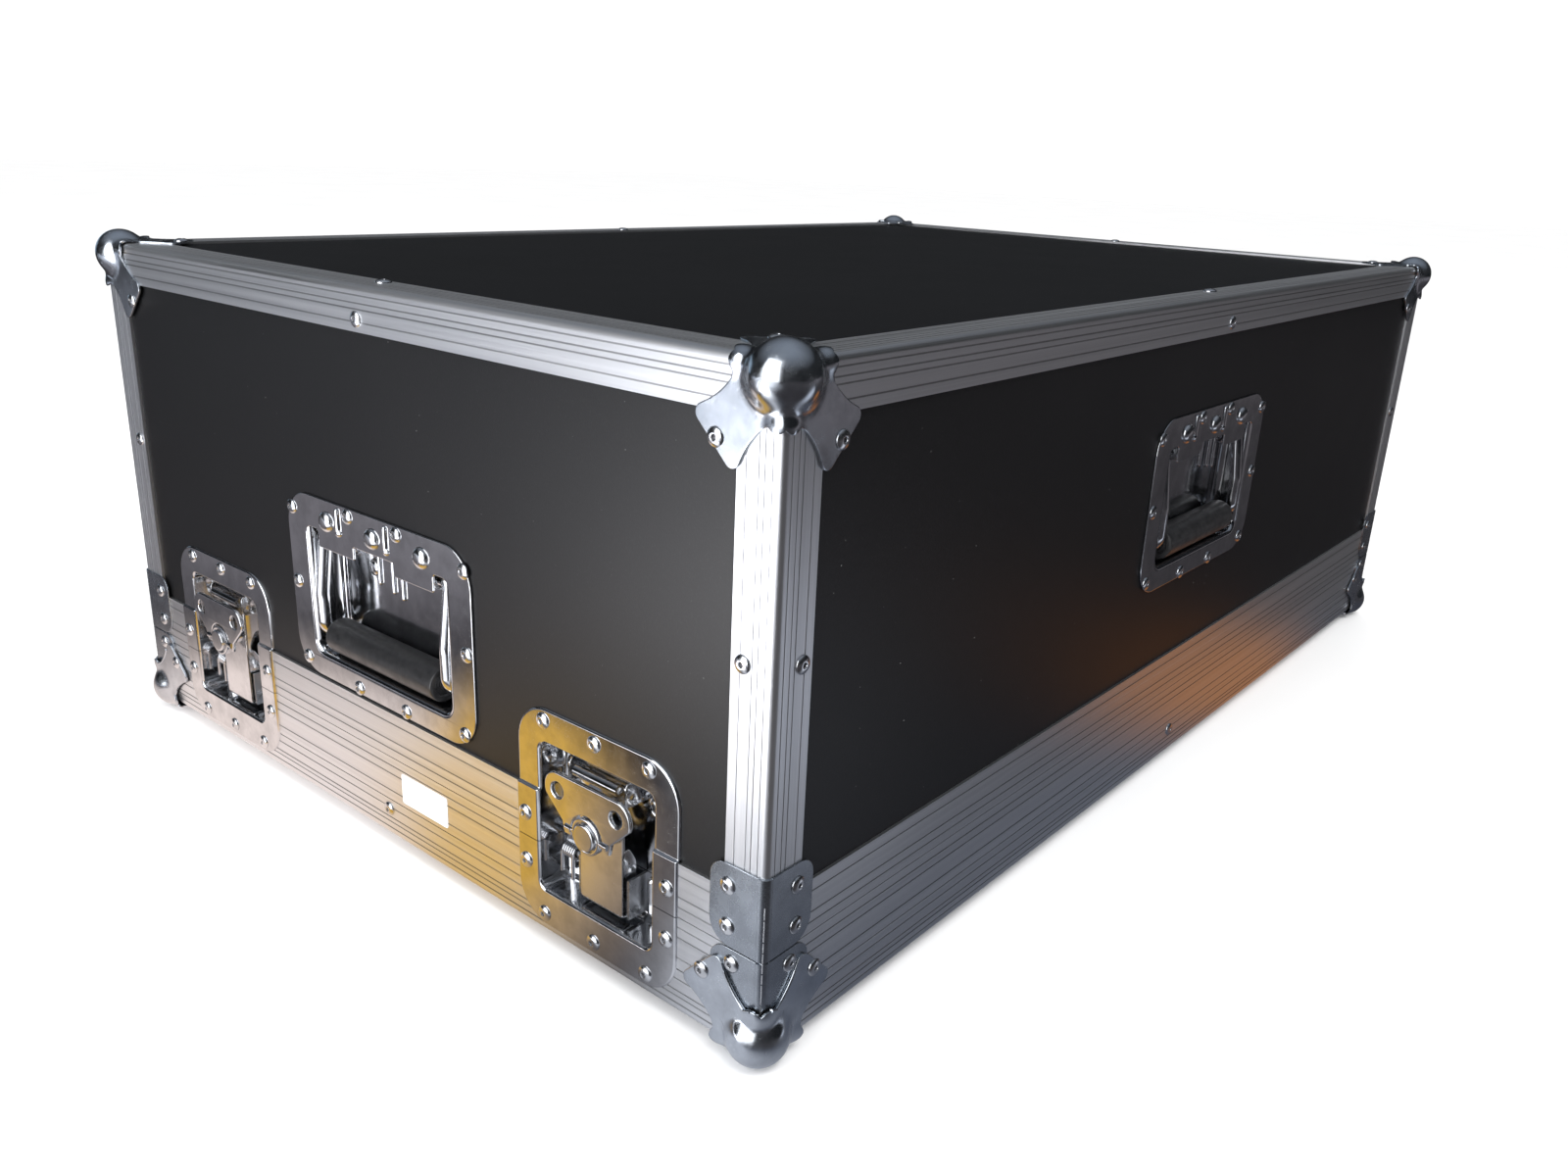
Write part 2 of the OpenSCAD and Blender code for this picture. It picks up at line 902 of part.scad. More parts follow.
// Outline of the butterfly wing seen from outside, its fold axis at the origin.
module wing_outline() {
  difference() {
    union() {
      for (s = [-1, 1]) {
        translate([s * 19, 16])
          circle(8.8);
        translate([s * 11.8, 3])
          circle(3);
      }
      polygon([[-19, 24.8], [19, 24.8], [27, 12.3], [14.5, 1.8],
               [14, -1], [-14, -1], [-14.5, 1.8], [-27, 12.3]]);
    }
    circle(9.8);
    translate([0, -6])
      square([19.6, 12], center = true);
    for (s = [-1, 1])
      translate([s * 19, 16])
        circle(4);
  }
}

module wing() {
  translate([0, -wing_y, boss_z])
    difference() {
      union() {
        plate(-0.75, 1.5)
          wing_outline();
        for (s = [-1, 1])
          translate([s * 11.9, 0, 0])
            along_x(5.6, 3.6);
      }
      along_x(3.1, 40);
      along_y(19.6, -1.9, 4);
    }
}

// ----------------------------------------------------------------- lining

// Foam pad lying loose in the tray, clear of the latch dishes.
module base_foam() color("dimgray") {
  l = ply_l - 2 * (latch_depth + 3);
  w = ply_w - 2 * (ply_t + alu_t + 1);
  translate([-l / 2, -w / 2, standoff + floor_top])
    cube([l, w, foam_t]);
}

// Blank paper label on the tray's rim at the left end.
module label() color("white")
  on_face(3)
    translate([case_w / 2 - 249, -0.2, 25])
      cube([39, 0.2, 17]);

// --------------------------------------------------------------- assembly

base_panel();
base_walls();
base_rim_extrusions();
bottom_edge_angles();
base_ball_corners();
base_corner_braces();
base_rivets();
base_foam();
label();
top_panel();
front_panel();
back_panel();
left_panel();
right_panel();
top_edge_angles();
vertical_edge_angles();
cover_rim_extrusions();
cover_ball_corners();
cover_corner_braces();
cover_rivets();
handle_rivets();
latch_brackets();
latch_springs();
latch_keepers();
handle_brackets();
handle_springs();
for (i = [0 : 3]) {
  color("#cfd2d6") at_latch(i) lower_dish();
  color("#cfd2d6") at_latch(i) upper_dish();
  color("#b8bcc2") at_latch(i) hook();
  color("#dfe2e6") at_latch(i) twist_boss();
  color("#dfe2e6") at_latch(i) wing();
  color("#cfd2d6") at_handle(i) handle_dish(i);
  color("#dfe2e6") at_handle(i) bail();
  color("#151515") at_handle(i) grip();
}
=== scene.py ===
"""Equipment flight case: the looks of every part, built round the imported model."""

import math

import bmesh
import bpy
from mathutils import Matrix, Vector

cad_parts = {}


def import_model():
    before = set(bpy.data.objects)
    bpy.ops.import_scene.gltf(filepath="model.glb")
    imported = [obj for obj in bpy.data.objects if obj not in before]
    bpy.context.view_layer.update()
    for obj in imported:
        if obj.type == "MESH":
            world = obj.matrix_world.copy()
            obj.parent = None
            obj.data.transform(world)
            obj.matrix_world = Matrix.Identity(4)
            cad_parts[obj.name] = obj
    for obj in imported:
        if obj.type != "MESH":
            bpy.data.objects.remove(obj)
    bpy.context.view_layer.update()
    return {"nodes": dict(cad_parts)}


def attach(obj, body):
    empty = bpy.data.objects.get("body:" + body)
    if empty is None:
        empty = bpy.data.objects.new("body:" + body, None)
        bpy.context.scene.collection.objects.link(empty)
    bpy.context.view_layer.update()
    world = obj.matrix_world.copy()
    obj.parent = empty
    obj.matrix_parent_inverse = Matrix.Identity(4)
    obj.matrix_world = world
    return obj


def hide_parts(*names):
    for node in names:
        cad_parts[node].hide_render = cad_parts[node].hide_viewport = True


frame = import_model()
nodes = frame["nodes"]

# Shapes are built in millimetres and shown in metres.
MM = 0.001

# The case over its edging, which stands on the ball corners.
CASE_L = 800
CASE_W = 525
CASE_H = 290
STANDOFF = 7

# How high up the case the cover parts from the tray, and the edging's thickness.
SPLIT = 48.3
ALU = 1.5

# Sheet steel of the dishes and ball corners, and of the braces.
SHEET = 1.2
BRACE_T = 1

# Rivets along the edges, and those of the ball corners, from the case's edges.
EDGE_ROW = 16
CORNER_ROW = 31.5

# Heights of the handles' centres. In a handle, from its centre: half the width
# and the foot of its opening, the hinge, the bail's arms and the grip.
SIDE_HANDLE = 175
END_HANDLE = 127
HANDLE_OPEN = 59
HANDLE_LOW = -37
HINGE_Y = 5.5
HINGE_Z = 29
BAIL_X = 54.5
GRIP_Z = -26

# A latch's distance from the case's edge. In a latch, from where it parts: half
# the width, the foot and the top of its opening, the boss and the claw.
LATCH_INSET = 100
LATCH_OPEN = 37
LATCH_LOW = -24.3
LATCH_HIGH = 51.7
BOSS_Z = 19.2
CLAW_Z = 44.5

LATCHES = ("right_front", "right_back", "left_back", "left_front")
HANDLES = ("front", "right", "back", "left")
SWAP_XY = Matrix(((0, 1, 0, 0), (1, 0, 0, 0), (0, 0, 1, 0), (0, 0, 0, 1)))
CYCLE = Matrix(((0, 0, 1, 0), (1, 0, 0, 0), (0, 1, 0, 0), (0, 0, 0, 1)))


# ------------------------------------------------------------------ places

def on_face(face, x=0, y=0, z=0):
    """The frame of a side, x to the right seen from outside and y inwards."""
    out = (CASE_W if face % 2 == 0 else CASE_L) / 2
    turn = Matrix.Rotation(math.radians(90 * face), 4, "Z")
    lift = Matrix.Translation((0, 0, STANDOFF))
    return lift @ turn @ Matrix.Translation((x, y - out, z))


def half_length(face):
    return (CASE_L if face % 2 == 0 else CASE_W) / 2


def handle_height(face):
    return SIDE_HANDLE if face % 2 == 0 else END_HANDLE


def at_handle(face):
    return on_face(face, 0, ALU, handle_height(face))


def at_latch(index):
    face = (1, 1, 3, 3)[index]
    side = (-1, 1, -1, 1)[index]
    return on_face(face, side * (CASE_W / 2 - LATCH_INSET), ALU, SPLIT)


def metres(place):
    """The same place with its offset in metres."""
    result = place.copy()
    result.translation = place.translation * MM
    return result


def corners(top):
    """The four bottom or top corners, each as its own octant."""
    places = []
    for sx in (1, -1):
        for sy in (1, -1):
            mirror = Matrix.Diagonal((sx, sy, -1 if top else 1, 1))
            z = 2 * STANDOFF + CASE_H if top else 0
            places.append(Matrix.Translation((0, 0, z)) @ mirror
                          @ Matrix.Translation((-CASE_L / 2, -CASE_W / 2, STANDOFF)))
    return places


# ------------------------------------------------------------------ shapes

def arc(cx, cz, r, start, end, steps):
    """Points along an arc, its angles in degrees."""
    points = []
    for k in range(steps + 1):
        a = math.radians(start + (end - start) * k / steps)
        points.append((cx + r * math.cos(a), cz + r * math.sin(a)))
    return points


def rounded(points, radii, steps=5):
    """An outline through the points with each corner rounded by its radius."""
    outline = []
    for i, point in enumerate(points):
        here = Vector(point)
        radius = radii[i] if isinstance(radii, (list, tuple)) else radii
        if radius == 0:
            outline.append(tuple(here))
            continue
        before = (Vector(points[i - 1]) - here).normalized()
        after = (Vector(points[(i + 1) % len(points)]) - here).normalized()
        half = before.angle(after) / 2
        centre = here + (before + after).normalized() * (radius / math.sin(half))
        u = here + before * (radius / math.tan(half)) - centre
        v = here + after * (radius / math.tan(half)) - centre
        total = u.angle(v)
        for k in range(steps + 1):
            t = k / steps
            turned = u * math.sin((1 - t) * total) + v * math.sin(t * total)
            outline.append(tuple(centre + turned / math.sin(total)))
    return outline


def rectangle(x, low, high):
    return [(-x, low), (x, low), (x, high), (-x, high)]


def circle(x, z, r, steps=20):
    return arc(x, z, r, 0, 360 - 360 / steps, steps - 1)


def placed(name, data):
    """A new object in the scene that holds a mesh, a curve, a light or a camera."""
    thing = bpy.data.objects.new(name, data)
    bpy.context.scene.collection.objects.link(thing)
    return thing


def mesh_of(shape, name):
    """The shape as a mesh; the shape is used up."""
    mesh = bpy.data.meshes.new(name)
    shape.to_mesh(mesh)
    shape.free()
    return mesh


def shape_of(mesh):
    """The mesh as a shape; the mesh is used up."""
    shape = bmesh.new()
    shape.from_mesh(mesh)
    bpy.data.meshes.remove(mesh)
    return shape


def applied(holder):
    """An object's mesh with its curve or modifiers worked out; the object is used up."""
    graph = bpy.context.evaluated_depsgraph_get()
    mesh = bpy.data.meshes.new_from_object(holder.evaluated_get(graph))
    bpy.data.objects.remove(holder)
    return mesh


def plate(outline, holes, y0, thick, soft=0.4):
    """A flat plate with soft edges from an outline in x and z."""
    curve = bpy.data.curves.new("outline", "CURVE")
    curve.dimensions = "2D"
    curve.fill_mode = "BOTH"
    curve.extrude = thick / 2 - soft
    curve.bevel_depth = soft
    curve.bevel_resolution = 2
    curve.offset = -soft
    for loop in [outline] + list(holes):
        spline = curve.splines.new("POLY")
        spline.points.add(len(loop) - 1)
        for point, place in zip(spline.points, loop):
            point.co = (place[0], place[1], 0, 1)
        spline.use_cyclic_u = True
    shape = shape_of(applied(placed("outline", curve)))
    bmesh.ops.remove_doubles(shape, verts=shape.verts, dist=0.001)
    stand = Matrix.Translation((0, y0 + thick / 2, 0)) @ Matrix.Rotation(math.pi / 2, 4, "X")
    return moved(shape, stand)


def moved(shape, place):
    bmesh.ops.transform(shape, matrix=place, verts=shape.verts)
    return shape


def joined(shapes):
    """Several shapes as one."""
    whole = bmesh.new()
    for shape in shapes:
        mesh = mesh_of(shape, "part")
        whole.from_mesh(mesh)
        bpy.data.meshes.remove(mesh)
    return whole


def copies(shape, places):
    """The shape repeated at each place."""
    result = []
    for place in places:
        copy = moved(shape.copy(), place)
        if place.determinant() < 0:
            bmesh.ops.reverse_faces(copy, faces=copy.faces)
        result.append(copy)
    shape.free()
    return joined(result)


def loft(loops, closed=True, cap_start=False, cap_end=False):
    """A skin through loops that have the same number of points."""
    shape = bmesh.new()
    rings = [[shape.verts.new(point) for point in loop] for loop in loops]
    for a, b in zip(rings, rings[1:]):
        for i in range(len(a) if closed else len(a) - 1):
            j = (i + 1) % len(a)
            shape.faces.new((a[i], a[j], b[j], b[i]))
    if cap_start:
        shape.faces.new(rings[0][::-1])
    if cap_end:
        shape.faces.new(rings[-1])
    return shape


def lathe(profile, sides=24):
    """A turned shape about y from (radius, height outwards) points."""
    loops = []
    for radius, height in profile:
        ring = circle(0, 0, max(radius, 0.0005), sides)
        loops.append([(x, -height, z) for x, z in ring])
    shape = loft(loops)
    bmesh.ops.remove_doubles(shape, verts=shape.verts, dist=0.001)
    return shape


def tube(path, radius, sides=14):
    """A round bar along a path."""
    points = [Vector(point) for point in path]
    loops = []
    side = None
    for i, point in enumerate(points):
        ahead = points[min(i + 1, len(points) - 1)]
        behind = points[max(i - 1, 0)]
        along = (ahead - behind).normalized()
        if side is None:
            side = along.orthogonal().normalized()
        side = (side - along * side.dot(along)).normalized()
        up = along.cross(side)
        ring = circle(0, 0, radius, sides)
        loops.append([point + side * a + up * b for a, b in ring])
    shape = loft(loops, True, True, True)
    bmesh.ops.remove_doubles(shape, verts=shape.verts, dist=0.0005)
    return shape


def helix(x0, y0, z0, radius, pitch, turns):
    """A path wound round an axis along x."""
    per_turn = 20
    points = []
    for k in range(round(turns * per_turn) + 1):
        a = 2 * math.pi * k / per_turn
        points.append((x0 + pitch * k / per_turn, y0 + radius * math.cos(a),
                       z0 + radius * math.sin(a)))
    return points


def capsule(x, y, low, high, radius, sides=16):
    """An upright bar with round ends."""
    loops = []
    for height, base, start in ((low, low + radius, -90), (high, high - radius, 0)):
        for k in range(5):
            a = math.radians(start + 90 * k / 4)
            ring = circle(x, y, max(radius * math.cos(a), 0.01), sides)
            z = base + radius * math.sin(a)
            loops.append([(px, py, z) for px, py in ring])
    return loft(loops, True, True, True)


def frame_loop(x, low, high, radius, y, steps=6):
    """A rounded rectangle as a loop at the depth y."""
    outline = rounded(rectangle(x, low, high), radius, steps)
    return [(px, y, pz) for px, pz in outline]


def cut(shape, point, normal):
    """Removes what lies on the normal's side of a plane."""
    everything = shape.verts[:] + shape.edges[:] + shape.faces[:]
    bmesh.ops.bisect_plane(shape, geom=everything, plane_co=point, plane_no=normal,
                           clear_outer=True)
    return shape


def score(shape, point, normal):
    """Adds an edge loop where a plane crosses the shape."""
    everything = shape.verts[:] + shape.edges[:] + shape.faces[:]
    bmesh.ops.bisect_plane(shape, geom=everything, plane_co=point, plane_no=normal)


def thickened(shape, thick):
    """Gives an open skin its sheet thickness, behind the side that shows."""
    skin = mesh_of(shape, "skin")
    holder = placed("skin", skin)
    solid = holder.modifiers.new("Sheet", "SOLIDIFY")
    solid.thickness = thick
    solid.offset = -1
    full = shape_of(applied(holder))
    bpy.data.meshes.remove(skin)
    return full


def smooth(t):
    """A soft step from 0 to 1."""
    t = min(max(t, 0), 1)
    return t * t * (3 - 2 * t)


def finished(name, shape, finish, sharp=38):
    """The mesh of a shape, in metres, with clean shading."""
    mesh = mesh_of(moved(shape, Matrix.Scale(MM, 4)), name)
    mesh.shade_smooth()
    mesh.set_sharp_from_angle(angle=math.radians(sharp))
    holder = placed(name, mesh)
    weighted = holder.modifiers.new("Normals", "WEIGHTED_NORMAL")
    weighted.keep_sharp = True
    weighted.weight = 80
    result = applied(holder)
    bpy.data.meshes.remove(mesh)
    result.name = name
    result.materials.clear()
    result.materials.append(finish)
    return result


def show(name, mesh, place, body, slot, *stands_for):
    """Puts a finished mesh in the scene as a piece of the object."""
    piece = placed(name, mesh)
    piece.matrix_world = metres(place)
    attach(piece, body)
    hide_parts(*stands_for)
    return piece


def show_set(name, shape, finish, body, slot, node, sharp=38):
    """Shows one mesh that holds every copy of a fitting."""
    return show(name, finished(name, shape, finish, sharp), Matrix(), body, slot, node)


# --------------------------------------------------------------- materials

class Finish:
    """A node material with helpers for noise, ramps and bump."""

    def __init__(self, name, colour, metallic, roughness):
        self.material = bpy.data.materials.new(name)
        self.material.use_nodes = True
        self.tree = self.material.node_tree
        self.shader = self.tree.nodes["Principled BSDF"]
        self.shader.inputs["Base Color"].default_value = (*colour, 1)
        self.shader.inputs["Metallic"].default_value = metallic
        self.shader.inputs["Roughness"].default_value = roughness
        self.coords = self.tree.nodes.new("ShaderNodeTexCoord")
        self.normal = None

    def link(self, source, target):
        self.tree.links.new(source, target)

    def noise(self, scale, detail=3, stretch=(1, 1, 1), rough=0.55):
        mapping = self.tree.nodes.new("ShaderNodeMapping")
        mapping.inputs["Scale"].default_value = stretch
        texture = self.tree.nodes.new("ShaderNodeTexNoise")
        texture.inputs["Scale"].default_value = scale
        texture.inputs["Detail"].default_value = detail
        texture.inputs["Roughness"].default_value = rough
        self.link(self.coords.outputs["Object"], mapping.inputs["Vector"])
        self.link(mapping.outputs["Vector"], texture.inputs["Vector"])
        return texture.outputs["Fac"]

    def cells(self, scale):
        texture = self.tree.nodes.new("ShaderNodeTexVoronoi")
        texture.inputs["Scale"].default_value = scale
        self.link(self.coords.outputs["Object"], texture.inputs["Vector"])
        return texture.outputs["Distance"]

    def ramp(self, value, stops):
        """Colours or greys by value, as (position, colour) stops."""
        node = self.tree.nodes.new("ShaderNodeValToRGB")
        elements = node.color_ramp.elements
        while len(elements) < len(stops):
            elements.new(0.5)
        for element, (position, colour) in zip(elements, stops):
            element.position = position
            shade = colour if isinstance(colour, tuple) else (colour, colour, colour)
            element.color = (*shade, 1)
        self.link(value, node.inputs["Fac"])
        return node.outputs["Color"]

    def math(self, operation, a, b=0.0):
        node = self.tree.nodes.new("ShaderNodeMath")
        node.operation = operation
        for socket, value in zip(node.inputs, (a, b)):
            if isinstance(value, (int, float)):
                socket.default_value = value
            else:
                self.link(value, socket)
        return node.outputs["Value"]

    def mix(self, factor, a, b):
        node = self.tree.nodes.new("ShaderNodeMix")
        node.data_type = "RGBA"
        self.link(factor, node.inputs["Factor"])
        self.link(a, node.inputs["A"])
        self.link(b, node.inputs["B"])
        return node.outputs["Result"]

    def colour(self, value):
        self.link(value, self.shader.inputs["Base Color"])

    def roughness(self, value):
        self.link(value, self.shader.inputs["Roughness"])

    def bump(self, height, strength, distance):
        node = self.tree.nodes.new("ShaderNodeBump")
        node.inputs["Strength"].default_value = strength
        node.inputs["Distance"].default_value = distance
        self.link(height, node.inputs["Height"])
        if self.normal is not None:
            self.link(self.normal, node.inputs["Normal"])
        self.normal = node.outputs["Normal"]
        self.link(self.normal, self.shader.inputs["Normal"])

    def axis(self, index):
        node = self.tree.nodes.new("ShaderNodeSeparateXYZ")
        self.link(self.coords.outputs["Object"], node.inputs["Vector"])
        return node.outputs[index]


def laminate():
    """Black laminated ply, semi-matt with a fine pressed grain."""
    f = Finish("black_laminate", (0.012, 0.012, 0.013), 0, 0.42)
    f.shader.inputs["Specular IOR Level"].default_value = 0.45
    cloud = f.noise(9, 4)
    grain = f.noise(1400, 2)
    film = f.ramp(f.noise(900, 2), [(0.35, (0.002, 0.002, 0.0025)), (0.62, (0.0035, 0.0035, 0.004)),
                                    (0.78, (0.009, 0.009, 0.01))])
    dust = f.ramp(f.cells(110), [(0.022, 1), (0.034, 0)])
    f.colour(f.mix(dust, film, f.ramp(cloud, [(0.4, (0.05, 0.05, 0.05)), (0.7, (0.3, 0.3, 0.3))])))
    f.roughness(f.ramp(cloud, [(0.3, 0.39), (0.7, 0.43)]))
    f.bump(grain, 0.22, 0.0002)
    return f.material


def groove_shade_lines(f, away, middles):
    """A mask of thin lines where the distance away is one of these, in millimetres: where painted
    shade darkens the grooves.
    """
    span = 24
    stops = [(0, 0)]
    for middle in middles:
        for side, shade in ((-0.45, 0), (-0.2, 1), (0.2, 1), (0.45, 0)):
            stops.append(((middle + side) / span, shade))
    return f.ramp(f.math("DIVIDE", away, span * MM), stops)


def brushed(name, upright=False, rim=False):
    """Extruded aluminium with fine lines along its length, grooved where it lies flat, with painted
    shade darkening the grooves.
    """
    f = Finish(name, (0.76, 0.77, 0.79), 1, 0.3)
    if upright:
        lines = f.noise(1, 3, (2400, 2400, 5))
        streaks = f.noise(1, 2, (320, 320, 2))
    else:
        # The lengths meet at a mitre, so the end lengths run the other way.
        from_end = f.math("SUBTRACT", CASE_L * MM / 2, f.math("ABSOLUTE", f.axis(0)))
        from_side = f.math("SUBTRACT", CASE_W * MM / 2, f.math("ABSOLUTE", f.axis(1)))
        across = f.math("LESS_THAN", from_end, from_side)
        lines = f.mix(across, f.noise(1, 3, (5, 2400, 2400)), f.noise(1, 3, (2400, 5, 2400)))
        streaks = f.mix(across, f.noise(1, 2, (2, 320, 320)), f.noise(1, 2, (320, 2, 320)))
    # The metal's own streaked tone; the grooves' darker colour below is painted shade.
    clean = f.ramp(streaks, [(0.3, (0.7, 0.71, 0.73)), (0.5, (0.76, 0.77, 0.79)),
                             (0.72, (0.82, 0.83, 0.85))])
    if upright:
        f.colour(clean)
    else:
        if rim:
            away = f.math("ABSOLUTE", f.math("SUBTRACT", f.axis(2), (STANDOFF + SPLIT) * MM))
            groove_shade_mask = groove_shade_lines(f, away, (5, 10, 20.2))
        else:
            # The distance from the case's nearest edge picks out the grooves, which get painted
            # shade.
            middle = f.math("SUBTRACT", f.axis(2), (STANDOFF + CASE_H / 2) * MM)
            from_top = f.math("SUBTRACT", CASE_H * MM / 2, f.math("ABSOLUTE", middle))
            small = f.math("MINIMUM", from_end, from_side)
            large = f.math("MAXIMUM", from_end, from_side)
            away = f.math("MAXIMUM", small, f.math("MINIMUM", large, from_top))
            groove_shade_mask = groove_shade_lines(f, away, (4.9, 8.5, 11.3, 17.3))
        # Painted shade: the grooves are coloured darker than the metal round them.
        dark = f.ramp(streaks, [(0.3, (0.34, 0.34, 0.35)), (0.7, (0.45, 0.45, 0.46))])
        f.colour(f.mix(groove_shade_mask, clean, dark))
    f.roughness(f.ramp(lines, [(0.3, 0.3), (0.7, 0.45)]))
    f.bump(lines, 0.4, 0.00006)
    scuffs = f.noise(60, 5, (1, 1, 1), 0.7)
    f.bump(f.ramp(scuffs, [(0.6, 0), (0.68, 1)]), 0.05, 0.0001)
    return f.material


def steel(name, tone, low, high, scratches, wave):
    """Plated steel: bright, with faint waves, handling marks and fine scratches."""
    f = Finish(name, tone, 1, low)
    dark = tuple(0.82 * c for c in tone)
    f.colour(f.ramp(f.noise(70, 4), [(0.35, dark), (0.6, tone)]))
    f.roughness(f.ramp(f.noise(160, 5, (1, 1, 1), 0.65), [(0.38, low), (0.66, high)]))
    f.bump(f.noise(55, 1), wave, 0.0006)
    marks = f.noise(1, 2, (180, 2600, 900), 0.7)
    f.bump(f.ramp(marks, [(0.63, 0), (0.7, 1)]), scratches, 0.00008)
    return f.material


def rubber():
    """Black rubber, a little worn in places."""
    f = Finish("grip_rubber", (0.012, 0.012, 0.013), 0, 0.38)
    f.shader.inputs["Specular IOR Level"].default_value = 0.55
    f.roughness(f.ramp(f.noise(120, 4), [(0.35, 0.3), (0.7, 0.46)]))
    f.colour(f.ramp(f.noise(300, 3), [(0.3, (0.008, 0.008, 0.009)), (0.7, (0.02, 0.02, 0.021))]))
    f.bump(f.noise(900, 2), 0.25, 0.0002)
    return f.material


def foam():
    """Dark foam with open pores, their hollows painted darker as painted shade."""
    f = Finish("foam", (0.05, 0.05, 0.053), 0, 0.95)
    pores = f.cells(700)
    # Painted shade: the pores are coloured darker than the foam round them.
    f.colour(f.ramp(pores, [(0.05, (0.012, 0.012, 0.013)), (0.4, (0.05, 0.05, 0.053))]))
    f.roughness(f.ramp(f.noise(400, 3), [(0.3, 0.85), (0.7, 1.0)]))
    f.bump(pores, 0.6, 0.0006)
    return f.material


def paper():
    """White label paper with a faint grain."""
    f = Finish("label_paper", (0.86, 0.86, 0.84), 0, 0.6)
    f.colour(f.ramp(f.noise(500, 4), [(0.3, (0.83, 0.83, 0.81)), (0.7, (0.9, 0.9, 0.88))]))
    f.roughness(f.ramp(f.noise(300, 3), [(0.3, 0.5), (0.7, 0.7)]))
    f.bump(f.noise(2500, 2), 0.15, 0.00008)
    return f.material


LAMINATE = laminate()
ALU_LONG = brushed("aluminium_lengths")
ALU_UP = brushed("aluminium_uprights", upright=True)
ALU_RIM = brushed("aluminium_rims", rim=True)
CORNER = steel("plated_corner_steel", (0.62, 0.66, 0.71), 0.14, 0.28, 0.05, 0.1)
BRACE = steel("plated_brace_steel", (0.45, 0.485, 0.53), 0.24, 0.3, 0.14, 0.05)
DISH = steel("plated_dish_steel", (0.72, 0.73, 0.75), 0.07, 0.16, 0.04, 0.1)
MOVING = steel("plated_moving_steel", (0.74, 0.75, 0.77), 0.08, 0.18, 0.05, 0.1)
INNER = steel("inner_steel", (0.42, 0.43, 0.45), 0.25, 0.4, 0.1, 0.15)
WIRE = steel("spring_steel", (0.66, 0.67, 0.7), 0.14, 0.26, 0.05, 0.05)
RIVET = steel("rivet_steel", (0.76, 0.77, 0.79), 0.14, 0.26, 0.06, 0.06)
# The mandrels' near-black steel is partly their own darker steel and partly painted shade down in
# the rivets' holes.
CORE = steel("rivet_core_steel", (0.16, 0.16, 0.17), 0.35, 0.5, 0.1, 0.1)
RUBBER = rubber()
FOAM = foam()
PAPER = paper()

CARRIED = {
    "base_panel": LAMINATE, "base_walls": LAMINATE, "top_panel": LAMINATE,
    "front_panel": LAMINATE, "back_panel": LAMINATE, "left_panel": LAMINATE,
    "right_panel": LAMINATE, "base_rim_extrusions": ALU_RIM,
    "cover_rim_extrusions": ALU_RIM, "bottom_edge_angles": ALU_LONG,
    "top_edge_angles": ALU_LONG, "vertical_edge_angles": ALU_UP,
    "latch_brackets": INNER, "handle_brackets": INNER,
}
for name, finish in CARRIED.items():
    for material_slot in nodes[name].material_slots:
        material_slot.material = finish


# ------------------------------------------------------------------ rivets

def latch_rivets(centre, upper):
    """Five rivets round one half of a latch, as (x, z, distance out) on its side."""
    z = SPLIT + 62.7 if upper else SPLIT - 37.3
    seat = SHEET - ALU if upper else SHEET
    side = SPLIT + 12 if upper else SPLIT - 13.3
    row = [(centre + x, z, seat) for x in (-34, 0, 34)]
    return row + [(centre + x, side, SHEET) for x in (-46.3, 46.3)]


def handle_small(face):
    """The ten small rivets round a handle."""
    z = handle_height(face)
    pairs = [(74, 41), (74, -0.5), (70, -43.5), (21, -47.5), (21, 46.5)]
    return [(s * x, z + up, SHEET - ALU) for x, up in pairs for s in (-1, 1)]


def cover_rivets(face):
    half = half_length(face)
    places = handle_small(face) + [(0, CASE_H - EDGE_ROW, 0)]
    for s in (-1, 1):
        places.append((s * (half - CORNER_ROW), CASE_H - CORNER_ROW, SHEET))
        places.append((s * (half - EDGE_ROW), CASE_H * 0.6, 0))
        places += [(s * (half - 19), z, BRACE_T) for z in (58, 77)]
        if face % 2 == 1:
            places += latch_rivets(s * (half - LATCH_INSET), True)
    return places


def tray_rivets(face):
    half = half_length(face)
    places = [(0, EDGE_ROW, 0)]
    for s in (-1, 1):
        places.append((s * (half - CORNER_ROW), CORNER_ROW, BRACE_T + SHEET))
        places.append((s * (half - EDGE_ROW), 41.3, BRACE_T))
        if face % 2 == 1:
            places += latch_rivets(s * (half - LATCH_INSET), False)
    return places


def flat_rivets(up, seat):
    """Rivets on the top or the bottom, facing up or down."""
    turn = Matrix.Rotation(math.radians(-90 * up), 4, "X")
    z = STANDOFF + (CASE_H if up > 0 else 0)
    spots = []
    for s in (-1, 1):
        for t in (-1, 1):
            spots.append((s * (CASE_L / 2 - CORNER_ROW), t * (CASE_W / 2 - CORNER_ROW), seat))
        spots += [(0, s * (CASE_W / 2 - EDGE_ROW), 0), (s * (CASE_L / 2 - EDGE_ROW), 0, 0)]
    return [Matrix.Translation((x, y, z + up * out)) @ turn for x, y, out in spots]


def rivet_places(listing, up, seat):
    """Every rivet of a body, those round its sides each turned by another angle."""
    places = flat_rivets(up, seat)
    for face in range(4):
        for index, (x, z, out) in enumerate(listing(face)):
            spin = Matrix.Rotation(index * 1.3, 4, "Y")
            places.append(on_face(face, x, -out, z) @ spin)
    return places


def rivet_head():
    """The domed head of a blind rivet with its open middle."""
    return lathe([(4.0, -0.1), (4.0, 0.3), (3.85, 0.62), (3.4, 0.98), (2.7, 1.3), (2.0, 1.5),
                  (1.5, 1.55), (1.2, 1.45), (1.05, 1.2), (1.02, 0.5)], 20)


def rivet_core():
    """The broken mandrel left down in the head; its near-black steel is partly its own darker steel
    and partly painted shade in the rivet's hole.
    """
    return lathe([(1.05, 0.5), (0.8, 0.62), (0.45, 0.75), (0, 0.8)], 12)


